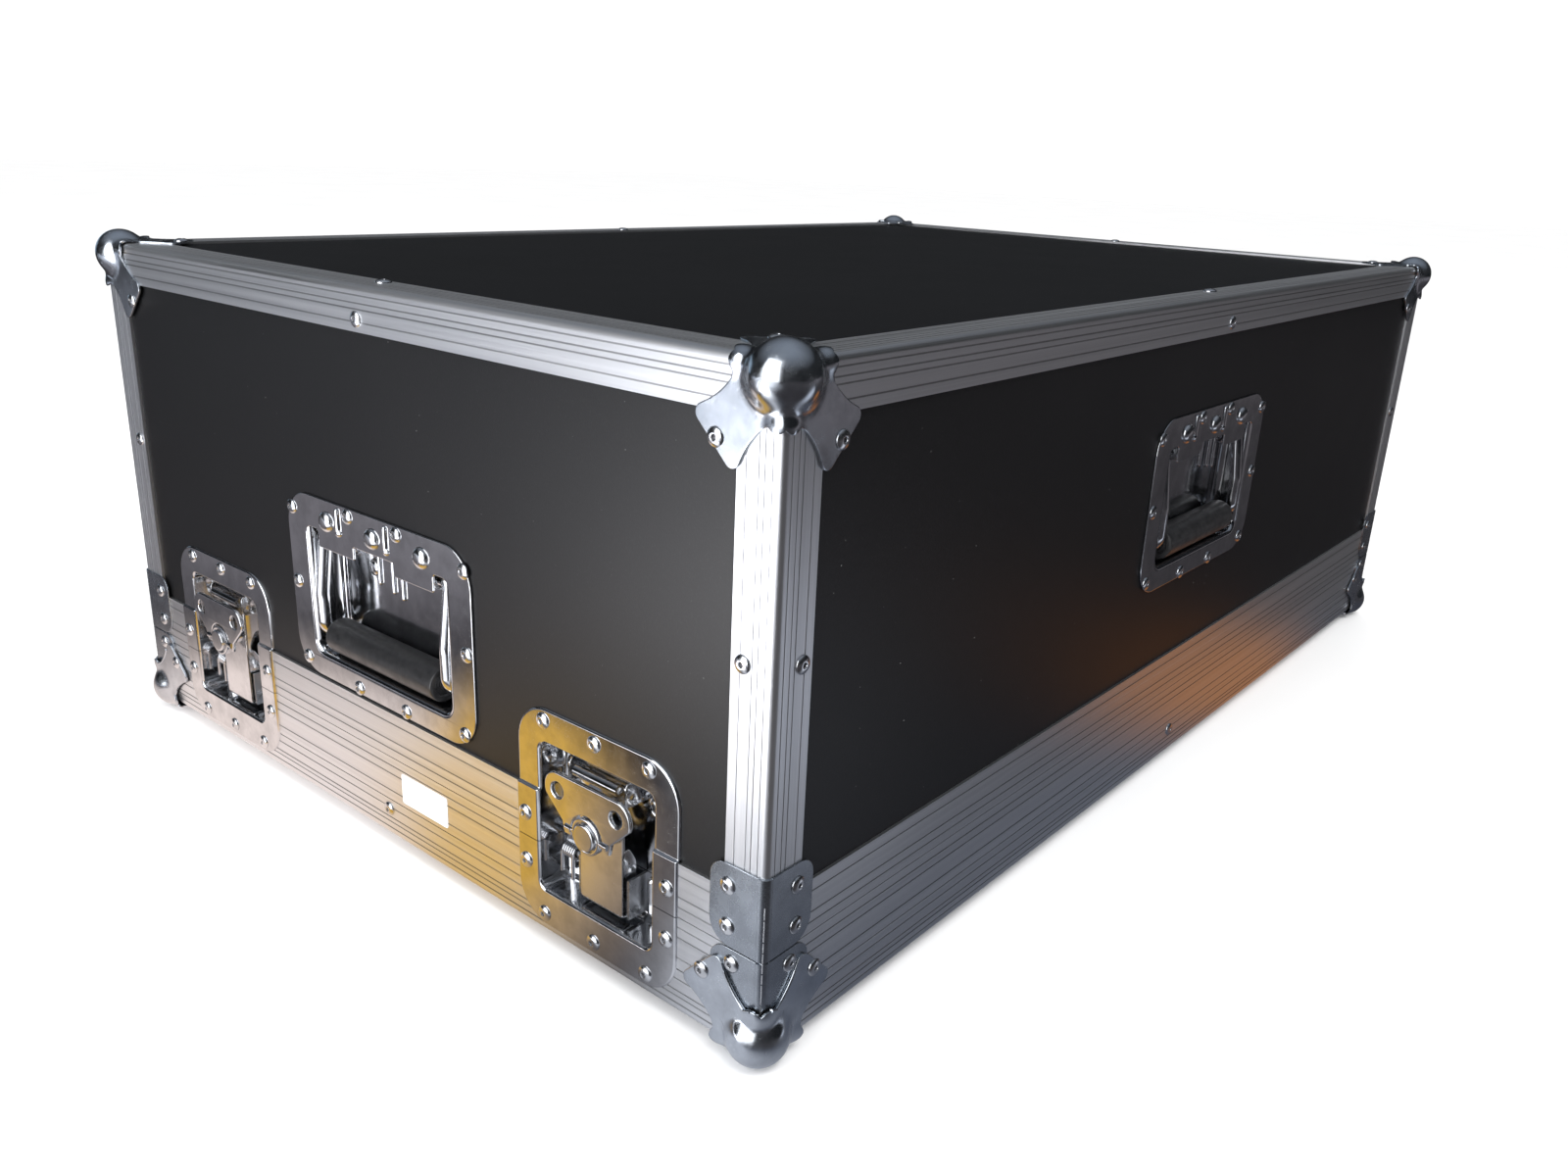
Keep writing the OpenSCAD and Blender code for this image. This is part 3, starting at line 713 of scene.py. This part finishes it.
for name, body, listing, up, seat in (
    ("base_rivets", "base_tray", tray_rivets, -1, BRACE_T + SHEET),
    ("cover_rivets", "cover", cover_rivets, 1, SHEET),
):
    places = rivet_places(listing, up, seat)
    heads = copies(rivet_head(), places)
    show_set(name + "_heads", heads, RIVET, body, "rivet_steel", name)
    cores = copies(rivet_core(), places)
    show_set(name + "_cores", cores, CORE, body, "rivet_steel", name)

big_heads = [at_handle(face) @ Matrix.Translation((x, -SHEET, 39.5))
             for face in range(4) for x in (-41, 0, 41)]
dome = lathe([(5.5, -0.1), (5.5, 0.4), (5.3, 0.9), (4.7, 1.6), (3.7, 2.2), (2.2, 2.55), (0, 2.6)])
show_set("handle_rivet_domes", copies(dome, big_heads), RIVET, "cover", "rivet_steel",
         "handle_rivets", 60)


# ----------------------------------------------------------------- corners

EDGE_R = 3
BALL_R = 14
BALL_IN = 7
END_REACH = 23.5
END_R = 3.35
LEG_CUT = 24.2
LEG_ROLL = 0.4


def blend(a, b, soft):
    """The smaller of two distances, with a fillet where they meet."""
    near = max(soft - abs(a - b), 0) / soft
    return min(a, b) - near * near * soft / 4


def pressed_depth(point, skin):
    """Distance outside a rounded corner with a ball and three raised ends pressed in it."""
    inside = [EDGE_R - c for c in point]
    outside = Vector([max(c, 0) for c in inside]).length
    depth = min(max(inside), 0) + outside - EDGE_R - skin
    depth = blend(depth, (point - Vector((BALL_IN, BALL_IN, BALL_IN))).length - BALL_R, 3)
    for axis in range(3):
        end = Vector((EDGE_R, EDGE_R, EDGE_R))
        end[axis] = END_REACH
        depth = blend(depth, (point - end).length - END_R - skin, 4)
    return depth


def on_skin(x, y, skin):
    """The pressed surface's point beyond a point of the sharp corner's face."""
    start = Vector((9, 9, 9))
    way = Vector((x, y, -skin)) - start
    low = 0.4
    high = 2.2
    # Halving the span finds where the way out crosses the surface.
    for _ in range(15):
        middle = (low + high) / 2
        if pressed_depth(start + way * middle, skin) < 0:
            low = middle
        else:
            high = middle
    return start + way * low


def skin_normal(point, skin):
    """The way straight out of the pressed surface."""
    slope = Vector()
    for axis in range(3):
        step = Vector((0, 0, 0))
        step[axis] = 0.05
        slope[axis] = pressed_depth(point + step, skin) - pressed_depth(point - step, skin)
    return slope.normalized()


def spaced(points, count):
    """A path's points taken again at even distances."""
    lengths = [0]
    for a, b in zip(points, points[1:]):
        lengths.append(lengths[-1] + (Vector(b) - Vector(a)).length)
    result = []
    k = 0
    for i in range(count + 1):
        goal = lengths[-1] * i / count
        while k < len(points) - 2 and lengths[k + 1] < goal:
            k += 1
        part = (goal - lengths[k]) / (lengths[k + 1] - lengths[k])
        result.append(Vector(points[k]).lerp(Vector(points[k + 1]), part))
    return result


def pressed_leg(skin):
    """One leg of a ball corner and its third of the ball, with its rim's points."""
    # The outline: a hollow side, the blunt tip and the same side mirrored.
    side = arc(53.5, -14, 37.2, 146, 112, 12)
    tip = [(44.7, 22.0), (22.0, 44.7)]
    back = [(y, x) for x, y in side[::-1]]
    start = [(LEG_CUT, -skin), (LEG_CUT - 0.1, EDGE_R)]
    path = start + side + tip + back + [(z, x) for x, z in start[::-1]]
    radii = [0, 3] + [0] * len(side) + [3.4, 3.4] + [0] * len(side) + [3, 0]
    rim = spaced(rounded(path, radii, 6), 84)
    edge = spaced([(-skin, -skin), (LEG_CUT, -skin)], 20)
    loop = edge[:-1] + rim + [Vector((p.y, p.x)) for p in edge[1:-1][::-1]]
    # Rings from the ball's middle out to the rim, each laid on the surface.
    middle = Vector((BALL_IN, BALL_IN))
    rings = []
    for j in range(23):
        reach = max(j / 22, 0.003)
        ring = [middle + (point - middle) * reach for point in loop]
        rings.append([on_skin(point.x, point.y, skin) for point in ring])
    first = len(edge) - 1
    border = rings[-1][first:first + len(rim)]
    # The rim rolls over a quarter turn and ends at the sheet's thickness.
    rows = [[] for _ in range(5)]
    for k, point in enumerate(border):
        out = skin_normal(point, skin)
        along = border[min(k + 1, len(border) - 1)] - border[max(k - 1, 0)]
        away = out.cross(along).normalized()
        if k == 0:
            away = Vector((1, 0, 0))
        if k == len(border) - 1:
            away = Vector((0, 1, 0))
        for row, turn in zip(rows, (0, 30, 60, 90)):
            a = math.radians(turn)
            row.append(point + away * LEG_ROLL * math.sin(a) - out * LEG_ROLL * (1 - math.cos(a)))
        rows[4].append(point + away * LEG_ROLL - out * SHEET)
    return joined([loft(rings, True, True), loft(rows, False)]), rows[2]


def ball_corner(lift, bead):
    """The whole pressed corner, with raised rims beside the upright when it has a bead."""
    leg, border = pressed_leg(lift + SHEET)
    parts = []
    for turn in (Matrix(), CYCLE, CYCLE @ CYCLE):
        parts.append(moved(leg.copy(), turn))
    leg.free()
    if bead:
        for turn, path in ((CYCLE @ CYCLE, border[5:25]), (CYCLE, border[-25:-5])):
            parts.append(moved(tube(path, bead, 10), turn))
    whole = joined(parts)
    bmesh.ops.remove_doubles(whole, verts=whole.verts, dist=0.01)
    return whole


for name, body, lift, top, bead in (("base_ball_corners", "base_tray", 1.0, False, 0.8),
                                    ("cover_ball_corners", "cover", 0.05, True, 0)):
    shape = copies(ball_corner(lift, bead), corners(top))
    show_set(name + "_shells", shape, CORNER, body, "plated_corner_steel", name)


def bend(radius, thick, low, high):
    """A strip bent round an upright edge."""
    steps = 8
    loops = []
    for k in range(steps + 1):
        a = math.radians(180 + 90 * k / steps)
        out = (EDGE_R + radius * math.cos(a), EDGE_R + radius * math.sin(a))
        ins = (EDGE_R + (radius - thick) * math.cos(a), EDGE_R + (radius - thick) * math.sin(a))
        loops.append([(*out, low), (*out, high - 0.3), (*ins, high), (*ins, low)])
    return loft(loops, True, True, True)


def corner_brace(width, low, high, round_low, holes):
    """An L-shaped brace with a bent edge and soft outer corners."""
    leg = [(EDGE_R, low), (width, low), (width, high), (EDGE_R, high)]
    outline = rounded(leg, [0, round_low, 8, 0])
    side = plate(outline, [circle(x, z, 1.9) for x, z in holes], -BRACE_T, BRACE_T, 0.3)
    strip = bend(EDGE_R + BRACE_T, BRACE_T, low, high)
    return joined([side.copy(), moved(side, SWAP_XY), strip])


for name, body, shape in (
    ("cover_corner_braces", "cover",
     corner_brace(29, SPLIT + 0.3, 87, 11, [(19, 58), (19, 77)])),
    ("base_corner_braces", "base_tray", corner_brace(28, 20, SPLIT - 0.3, 1.5, [(16, 41.3)])),
):
    bmesh.ops.recalc_face_normals(shape, faces=shape.faces)
    braces = copies(shape, corners(False))
    show_set(name + "_strips", braces, BRACE, body, "plated_corner_steel", name)


# ----------------------------------------------------------------- handles

def lip(x, low, high, corner, radius, y0):
    """The rolled edge between a plate and its dish, open at the top."""
    loops = []
    for k in range(7):
        a = math.radians(90 * k / 6)
        out = radius * (1 - math.sin(a))
        depth = y0 + radius * (1 - math.cos(a))
        outline = rounded(rectangle(x + out, low - out, high), [corner + out, corner + out, 0, 0])
        points = [(px, depth, pz) for px, pz in outline]
        loops.append(points[-1:] + points[:-1])
    return loft(loops, False)


def handle_dish():
    """The pressed plate with its pan, rolled opening and marks."""
    roll = 2.6
    slot = 4.5
    corner = 6
    slot_top = 33.5
    lip_z = 24
    pan_top = 42.5
    bottom = 15.8
    wide = HANDLE_OPEN + roll
    # Half the opening: a slot for the bail's arm, a tab and the slot in the middle.
    right = [(wide, HANDLE_LOW - roll), (wide, slot_top), (50, slot_top), (50, lip_z),
             (17.5, lip_z), (17.5, lip_z + 7)]
    radii = [corner + roll, slot, 2, 1.5, 0.8, 0.8]
    left = [(-x, z) for x, z in right[::-1]]
    hole = rounded(right + left, radii + radii[::-1])
    outer = rounded(rectangle(79, -51, 51), 20, 12)
    face = plate(outer, [hole], -SHEET, SHEET, 0.5)
    rolled = lip(HANDLE_OPEN, HANDLE_LOW, slot_top, corner, roll, -SHEET)
    wall = bottom - corner
    loops = [frame_loop(HANDLE_OPEN, HANDLE_LOW, pan_top, corner, -SHEET + roll)]
    loops.append(frame_loop(HANDLE_OPEN, HANDLE_LOW, pan_top, corner, wall))
    for k in range(1, 6):
        a = math.radians(90 * k / 5)
        ins = corner * (1 - math.cos(a))
        loops.append(frame_loop(HANDLE_OPEN - ins, HANDLE_LOW + ins, pan_top - ins,
                                max(corner - ins, 0.3), wall + corner * math.sin(a)))
    pan = thickened(loft(loops, True, False, True), SHEET)
    parts = [face, rolled, pan]
    for x in (-30, 12):
        parts.append(capsule(x, -SHEET, 35.5, 49.2, 1.5))
        knob = lathe([(2.4, -0.2), (2.2, 0.7), (1.4, 1.3), (0, 1.5)], 16)
        parts.append(moved(knob, Matrix.Translation((x, -SHEET, 36))))
    for x, z in ((-25, 15), (45, 10)):
        bolt = lathe([(5, -0.2), (4.8, 0.8), (3.8, 1.7), (2, 2.1), (0, 2.2)], 20)
        parts.append(moved(bolt, Matrix.Translation((x, bottom, z))))
    return joined(parts)


def handle_bail():
    """The wire, its arms bowed forward between the hinges and the grip."""
    bow_y = 1.3
    right = [(20, HINGE_Y, HINGE_Z), (BAIL_X, HINGE_Y, HINGE_Z), (BAIL_X, bow_y, -4),
             (BAIL_X, bow_y, GRIP_Z + 5), (BAIL_X, HINGE_Y, GRIP_Z)]
    left = [(-x, y, z) for x, y, z in right[::-1]]
    radii = [0, 4, 30, 6, 3.4]
    return tube(rounded(right + left, radii + radii[::-1], 8), 3.5, 20)


def handle_grip():
    """The rubber sleeve, with soft ends and a hollow round the wire."""
    end = [(3.6, 46.2), (5.6, 46.0), (6.4, 46.9), (8.3, 47.0), (9.1, 46.6), (9.5, 45.6),
           (9.5, 30), (9.5, 10)]
    profile = end + [(radius, -x) for radius, x in end[::-1]]
    turn = Matrix.Translation((0, HINGE_Y, GRIP_Z)) @ Matrix.Rotation(math.pi / 2, 4, "Z")
    return moved(lathe(profile, 40), turn)


def handle_spring():
    """Two torsion springs round the bail's ends, and three straight tails."""
    parts = []
    for x in (-27.5, 27.5):
        parts.append(tube(helix(x - 4.4, HINGE_Y, HINGE_Z, 4.5, 1.42, 6.2), 0.7, 10))
    for x, low in ((-3, 13.5), (9, 11.5), (17, 10)):
        parts.append(capsule(x, 4.5, low, 34, 1.5, 12))
    return joined(parts)


dish_mesh = finished("handle_dish", handle_dish(), DISH)
bail_mesh = finished("handle_bail", handle_bail(), MOVING)
grip_mesh = finished("handle_grip", handle_grip(), RUBBER)
for face, side in enumerate(HANDLES):
    here = at_handle(face)
    show(side + "_handle_plate", dish_mesh, here, "cover", "plated_dish_steel",
         side + "_handle_dish")
    show(side + "_handle_wire", bail_mesh, here, side + "_handle", "plated_moving_steel",
         side + "_handle_bail")
    show(side + "_handle_sleeve", grip_mesh, here, side + "_handle", "grip_rubber",
         side + "_handle_grip")
springs = copies(handle_spring(), [at_handle(face) for face in range(4)])
show_set("handle_spring_wires", springs, WIRE, "cover", "spring_steel", "handle_springs")


# ----------------------------------------------------------------- latches

def latch_shell():
    """The whole pressed latch plate and pan, before it is parted."""
    low = LATCH_LOW
    high = LATCH_HIGH
    wide = LATCH_OPEN
    # The plate's edge, the rolled edge of its opening, then its walls and floor.
    loops = []
    for k in range(5):
        a = math.radians(90 * k / 4)
        ins = SHEET * (1 - math.cos(a))
        loops.append(frame_loop(52.25 - ins, -43.3 + ins, 68.7 - ins, 20 - ins,
                                -SHEET * math.sin(a), 10))
    roll = 1.6
    for k in range(7):
        a = math.radians(90 * k / 6)
        out = roll * (1 - math.sin(a))
        loops.append(frame_loop(wide + out, low - out, high + out, 4.5 + out,
                                -SHEET + roll * (1 - math.cos(a)), 10))
    wall = 11.3
    draft = 0.4
    loops.append(frame_loop(wide - draft, low + draft, high - draft, 4.5, wall, 10))
    for k in range(1, 5):
        a = math.radians(90 * k / 4)
        ins = draft + 3.5 * (1 - math.cos(a))
        loops.append(frame_loop(wide - ins, low + ins, high - ins, max(4.6 - ins, 0.6),
                                wall + 3.5 * math.sin(a), 10))
    shell = loft(loops, True, False, True)
    # The plate steps out over the rims: a crank below the cover's panel.
    for z in (26.2, 26.5, 26.8, 27.1, 27.4):
        score(shell, (0, 0, z), (0, 0, 1))
    for vert in shell.verts:
        step = 1 - smooth((vert.co.z - 26.2) / 1.2)
        vert.co.y -= ALU * step * (1 - smooth((vert.co.y - 1) / 6))
    return shell


def lower_dish():
    """The tray's half of the latch plate, with two ribs and a rivet in its pan."""
    shell = cut(latch_shell(), (0, 0, -0.2), (0, 0, 1))
    parts = [thickened(shell, SHEET)]
    for x in (21, 28):
        parts.append(capsule(x, 14.6, -21.5, -1.5, 2.6))
    parts.append(moved(rivet_head(), Matrix.Translation((33.2, 14.6, -3.5))))
    return joined(parts)


def upper_dish():
    """The cover's half of the latch plate, with two dimples in its pan."""
    shell = cut(latch_shell(), (0, 0, 0.2), (0, 0, -1))
    parts = [thickened(shell, SHEET)]
    ring = [(8.2, -0.3), (7.6, 0.6), (7.0, 2.0), (6.2, 2.9), (5.4, 3.0), (4.7, 2.4), (4.2, 0.8),
            (3.6, 0.1), (0, 0)]
    for x in (-27, 27):
        parts.append(moved(lathe(ring, 28), Matrix.Translation((x, 14.7, 37))))
    return joined(parts)


def cheek(outline, hole, x):
    """A sheet 1.5 mm thick that stands across the latch from x on."""
    sheet = moved(plate(outline, [hole], 0, 1.5, 0.35), Matrix.Translation((x, 0, 0)) @ SWAP_XY)
    bmesh.ops.reverse_faces(sheet, faces=sheet.faces)
    return sheet


def hook():
    """The channel hook with side flanges and a rolled claw."""
    half = 14
    outline = rounded(rectangle(half, -21, CLAW_Z), [2, 2, 0, 0])
    parts = [plate(outline, [circle(0, BOSS_Z, 4.1)], 2.5, 1.5, 0.35)]
    flange = rounded([(2.5, -21), (11, -21), (11, 6), (7, 13), (2.5, 13)], [1.5, 4, 6, 2, 1.5])
    for x in (-half, half - 1.5):
        parts.append(cheek(flange, circle(8, -17, 2.1, 14), x))
    roll = tube([(x, 1.3, CLAW_Z) for x in (-half, 0.5 - half, half - 0.5, half)], 3, 24)
    return joined(parts + [roll])


def twist_boss():
    """The turned boss on the hook, with the pin that its wing folds on."""
    ring = [(8.2, -6.0), (8.0, -4.4), (4.0, -4.4), (4.0, 2.9), (8.7, 2.9), (9.0, 3.2), (9.0, 6.3),
            (8.8, 6.75), (8.3, 7.0), (7.6, 7.0), (7.2, 6.8), (7.0, 6.2), (6.6, 6.1), (6.5, 7.6),
            (6.3, 8.0), (5.9, 8.25), (5.2, 8.3), (0, 8.3)]
    boss = moved(lathe(ring, 36), Matrix.Translation((0, 0, BOSS_Z)))
    pin = tube([(x, -5.5, BOSS_Z) for x in (-13, -12.7, 12.7, 13)], 1.5, 12)
    return joined([boss, pin])


def wing():
    """The butterfly wing, flat on the boss, with its two barrels."""
    right = [(27.4, 12.6), (16, 2), (14.6, -3.6)]
    rim = arc(19, 16, 8.8, 90, -24, 8) + right[1:]
    outline = rim + [(-x, z) for x, z in rim[::-1]]
    gap = [(-9.9, -3.6)] + arc(0, 0, 9.9, 180, 0, 14) + [(9.9, -3.6)]
    shape = outline[:len(rim)] + gap[::-1] + outline[len(rim):]
    holes = [circle(s * 19, 16, 4, 22) for s in (-1, 1)]
    face = plate(shape, holes, -6.25, 2.2, 0.7)
    parts = [moved(face, Matrix.Translation((0, 0, BOSS_Z)))]
    for s in (-1, 1):
        barrel = [(s * x, -5.5, BOSS_Z) for x in (10.1, 10.4, 13.4, 13.7)]
        parts.append(tube(barrel, 1.9, 16))
    return joined(parts)


def keeper():
    """Two lugs on a back plate and the bar between them."""
    parts = []
    lug = rounded([(0, 37.5), (14.8, 37.5), (14.8, 49.5), (0, 49.5)], [3, 0.5, 0.5, 3])
    for x in (-18.75, 17.25):
        parts.append(cheek(lug, circle(4.2, 42, 1.6, 14), x))
    parts.append(plate(rectangle(18.7, 37.5, 49.5), [], 13.6, SHEET, 0.3))
    parts.append(tube([(x, 8.5, CLAW_Z) for x in (-17.5, 0, 17.5)], 2.5, 18))
    return joined(parts)


def latch_spring():
    """The hook's torsion spring and its two straight legs."""
    parts = [tube(helix(-30.4, 9, -5, 3.2, 1.42, 6.2), 0.7, 10)]
    for x, low in ((-23, -18), (-30.6, -16)):
        parts.append(tube([(x, 5.8, -5), (x, 5.8, low)], 0.9, 10))
    return joined(parts)


lower_mesh = finished("latch_lower_dish", lower_dish(), DISH)
upper_mesh = finished("latch_upper_dish", upper_dish(), DISH)
hook_mesh = finished("latch_hook", hook(), MOVING)
boss_mesh = finished("latch_twist_boss", twist_boss(), MOVING)
wing_mesh = finished("latch_wing", wing(), MOVING)
for index, latch in enumerate(LATCHES):
    here = at_latch(index)
    show(latch + "_lower_plate", lower_mesh, here, "base_tray", "plated_dish_steel",
         latch + "_lower_dish")
    show(latch + "_upper_plate", upper_mesh, here, "cover", "plated_dish_steel",
         latch + "_upper_dish")
    show(latch + "_hook_channel", hook_mesh, here, latch + "_hook", "plated_moving_steel",
         latch + "_hook")
    show(latch + "_boss_turned", boss_mesh, here, latch + "_twist_boss",
         "plated_moving_steel", latch + "_twist_boss")
    show(latch + "_wing_leaf", wing_mesh, here, latch + "_wing", "plated_moving_steel",
         latch + "_wing")
all_latches = [at_latch(index) for index in range(4)]
show_set("latch_keeper_bars", copies(keeper(), all_latches), MOVING, "cover", "inner_steel",
         "latch_keepers")
show_set("latch_spring_wires", copies(latch_spring(), all_latches), WIRE, "base_tray",
         "spring_steel", "latch_springs")


# ------------------------------------------------------- lining and label

def foam_pad():
    """A cut foam pad with soft, slightly uneven edges."""
    loops = []
    for out, z in ((-2.2, 0), (-0.6, 0.5), (0, 1.8), (-0.5, 5), (0, 8.2), (-0.6, 9.5), (-2.2, 10)):
        outline = rounded(rectangle(379.5 + out, -251.5 - out, 251.5 + out), 3, 4)
        loops.append([(x, y, STANDOFF + 8.5 + z) for x, y in outline])
    return loft(loops, True, True, True)


pad = show_set("base_foam_pad", foam_pad(), FOAM, "base_tray", "foam", "base_foam", 60)

sticker = plate(rounded([(13.5, 25), (52.5, 25), (52.5, 42), (13.5, 42)], 1.2), [],
                -0.2, 0.2, 0.06)
show("label_sheet", finished("label_sheet", sticker, PAPER), on_face(3), "base_tray",
     "label_paper", "label")


# ------------------------------------------------------------------ studio

def flat_sheet(name, half, material):
    """A level square on the ground, given half its side in metres."""
    shape = bmesh.new()
    bmesh.ops.create_grid(shape, x_segments=2, y_segments=2, size=half)
    mesh = mesh_of(shape, name)
    mesh.materials.append(material)
    return placed(name, mesh)


def studio_floor():
    """A plain pale floor, which the steel doesn't mirror."""
    f = Finish("studio_floor", (0.86, 0.86, 0.86), 0, 0.8)
    f.colour(f.ramp(f.noise(3, 2), [(0.3, (0.85, 0.85, 0.85)), (0.7, (0.88, 0.88, 0.88))]))
    floor = flat_sheet("studio_floor", 12, f.material)
    floor.visible_glossy = False
    return floor


# What the metal mirrors instead: the floor of a room, dark with soft patches
# of light and colour, each with its centre, reach, turn and colour.
FLOOR_TONE = (0.05, 0.047, 0.052)
FLOOR_PATCHES = (
    # daylight far to the left, and a dim stretch along the front
    ((-1.6, 1.3), (0.7, 1.7), 0, (0.75, 0.8, 0.92)),
    ((1.5, -1.3), (2.2, 0.7), 0, (0.2, 0.185, 0.2)),
    # grey in the end handle, with a soft glow towards the near upright
    ((-0.75, 0.55), (0.4, 0.6), 0, (0.2, 0.19, 0.21)),
    ((-0.9, 0.15), (0.3, 0.2), 148, (6, 5.8, 6)),
    # peach along the end's rims, and gold on the near latch
    ((-0.43, 0.14), (0.16, 0.36), 0, (1.05, 0.9, 0.84)),
    ((-0.485, 0.01), (0.24, 0.095), 128, (0.84, 0.5, 0.1)),
    # the front's rims: dark at the foot, pale beyond it and one warm patch
    ((-0.1, -0.27), (0.8, 0.12), 0, (0.09, 0.1, 0.13)),
    ((0.02, -0.66), (0.6, 0.13), -42, (0.75, 0.8, 0.92)),
    ((0.17, -0.33), (0.22, 0.14), 0, (0.38, 0.15, 0.05)),
    # the bright window, which whitens the top rim and the near upright
    ((-1.5, 0.1), (0.9, 1.1), 0, (1.75, 1.8, 1.95)),
    ((-0.465, -0.215), (0.16, 0.08), 148, (0.62, 0.64, 0.7)),
    ((-1.13, 0.13), (0.78, 0.24), 148, (9, 9.1, 9.5)),
)


def reflected_floor():
    """A card that only shows in reflections, painted with the patches."""
    material = bpy.data.materials.new("reflected_floor")
    material.use_nodes = True
    tree = material.node_tree
    tree.nodes.clear()
    coords = tree.nodes.new("ShaderNodeTexCoord")
    glow = tree.nodes.new("ShaderNodeEmission")
    out = tree.nodes.new("ShaderNodeOutputMaterial")
    tree.links.new(glow.outputs["Emission"], out.inputs["Surface"])
    colour = None
    for centre, reach, turn, tint in FLOOR_PATCHES:
        mapping = tree.nodes.new("ShaderNodeMapping")
        mapping.vector_type = "TEXTURE"
        mapping.inputs["Location"].default_value = (*centre, 0)
        mapping.inputs["Rotation"].default_value = (0, 0, math.radians(turn))
        mapping.inputs["Scale"].default_value = (*reach, 1)
        patch = tree.nodes.new("ShaderNodeTexGradient")
        patch.gradient_type = "QUADRATIC_SPHERE"
        edge = tree.nodes.new("ShaderNodeValToRGB")
        edge.color_ramp.elements[1].position = 0.35
        layer = tree.nodes.new("ShaderNodeMix")
        layer.data_type = "RGBA"
        layer.inputs["B"].default_value = (*tint, 1)
        tree.links.new(coords.outputs["Object"], mapping.inputs["Vector"])
        tree.links.new(mapping.outputs["Vector"], patch.inputs["Vector"])
        tree.links.new(patch.outputs["Fac"], edge.inputs["Fac"])
        tree.links.new(edge.outputs["Color"], layer.inputs["Factor"])
        if colour is None:
            layer.inputs["A"].default_value = (*FLOOR_TONE, 1)
        else:
            tree.links.new(colour, layer.inputs["A"])
        colour = layer.outputs["Result"]
    tree.links.new(colour, glow.inputs["Color"])
    card = flat_sheet("reflected_floor", 3, material)
    card.location.z = -0.002
    card.visible_camera = False
    card.visible_diffuse = False
    card.visible_shadow = False
    return card


def softbox(name, place, target, size, power, tint=(1, 1, 1)):
    """A soft rectangular light at a place, aimed at its target."""
    light = bpy.data.lights.new(name, "AREA")
    light.shape = "RECTANGLE"
    light.size = size[0]
    light.size_y = size[1]
    light.energy = power
    light.color = tint
    lamp = placed(name, light)
    lamp.location = place
    aim = Vector(target) - Vector(place)
    lamp.rotation_euler = aim.to_track_quat("-Z", "Y").to_euler()
    return lamp


def world():
    """White to the eye, bright for soft light and dark in the reflections."""
    scene_world = bpy.data.worlds.new("studio")
    scene_world.use_nodes = True
    tree = scene_world.node_tree
    tree.nodes.clear()
    rays = tree.nodes.new("ShaderNodeLightPath")
    white = tree.nodes.new("ShaderNodeBackground")
    white.inputs["Color"].default_value = (1, 1, 1, 1)
    white.inputs["Strength"].default_value = 1.25
    dim = tree.nodes.new("ShaderNodeBackground")
    coords = tree.nodes.new("ShaderNodeTexCoord")
    split = tree.nodes.new("ShaderNodeSeparateXYZ")
    ramp = tree.nodes.new("ShaderNodeValToRGB")
    ramp.color_ramp.elements[0].position = 0.4
    ramp.color_ramp.elements[0].color = (0.008, 0.009, 0.011, 1)
    ramp.color_ramp.elements[1].position = 0.95
    ramp.color_ramp.elements[1].color = (0.25, 0.28, 0.33, 1)
    mix = tree.nodes.new("ShaderNodeMixShader")
    out = tree.nodes.new("ShaderNodeOutputWorld")
    tree.links.new(coords.outputs["Generated"], split.inputs["Vector"])
    tree.links.new(split.outputs["Z"], ramp.inputs["Fac"])
    tree.links.new(ramp.outputs["Color"], dim.inputs["Color"])
    tree.links.new(rays.outputs["Is Glossy Ray"], mix.inputs["Fac"])
    tree.links.new(white.outputs["Background"], mix.inputs[1])
    tree.links.new(dim.outputs["Background"], mix.inputs[2])
    tree.links.new(mix.outputs["Shader"], out.inputs["Surface"])
    bpy.context.scene.world = scene_world


world()
floor = studio_floor()
card = reflected_floor()
key = softbox("key", (-0.6, -1.2, 1.9), (0, 0, 0.15), (1.2, 0.8), 24)
window = softbox("window", (-1.95, -0.1, 1.15), (-0.4, -0.1, 1.15), (1.7, 2.2), 34, (0.97, 0.98, 1))
back = softbox("back", (-0.1, 3.0, 0.5), (-0.2, 0, 0.3), (1.6, 0.8), 2.5, (0.6, 0.8, 1))
key.visible_glossy = False

camera = placed("camera", bpy.data.cameras.new("camera"))
camera.location = (-0.72839, -0.53270, 0.36426)
camera.rotation_euler = [math.radians(a) for a in (70.71765, -2.39782, -49.96553)]
camera.data.lens = 28.803
camera.data.sensor_width = 36
camera.data.clip_start = 0.01
bpy.context.scene.camera = camera
bpy.context.scene.view_settings.view_transform = "Standard"

bpy.context.view_layer.update()
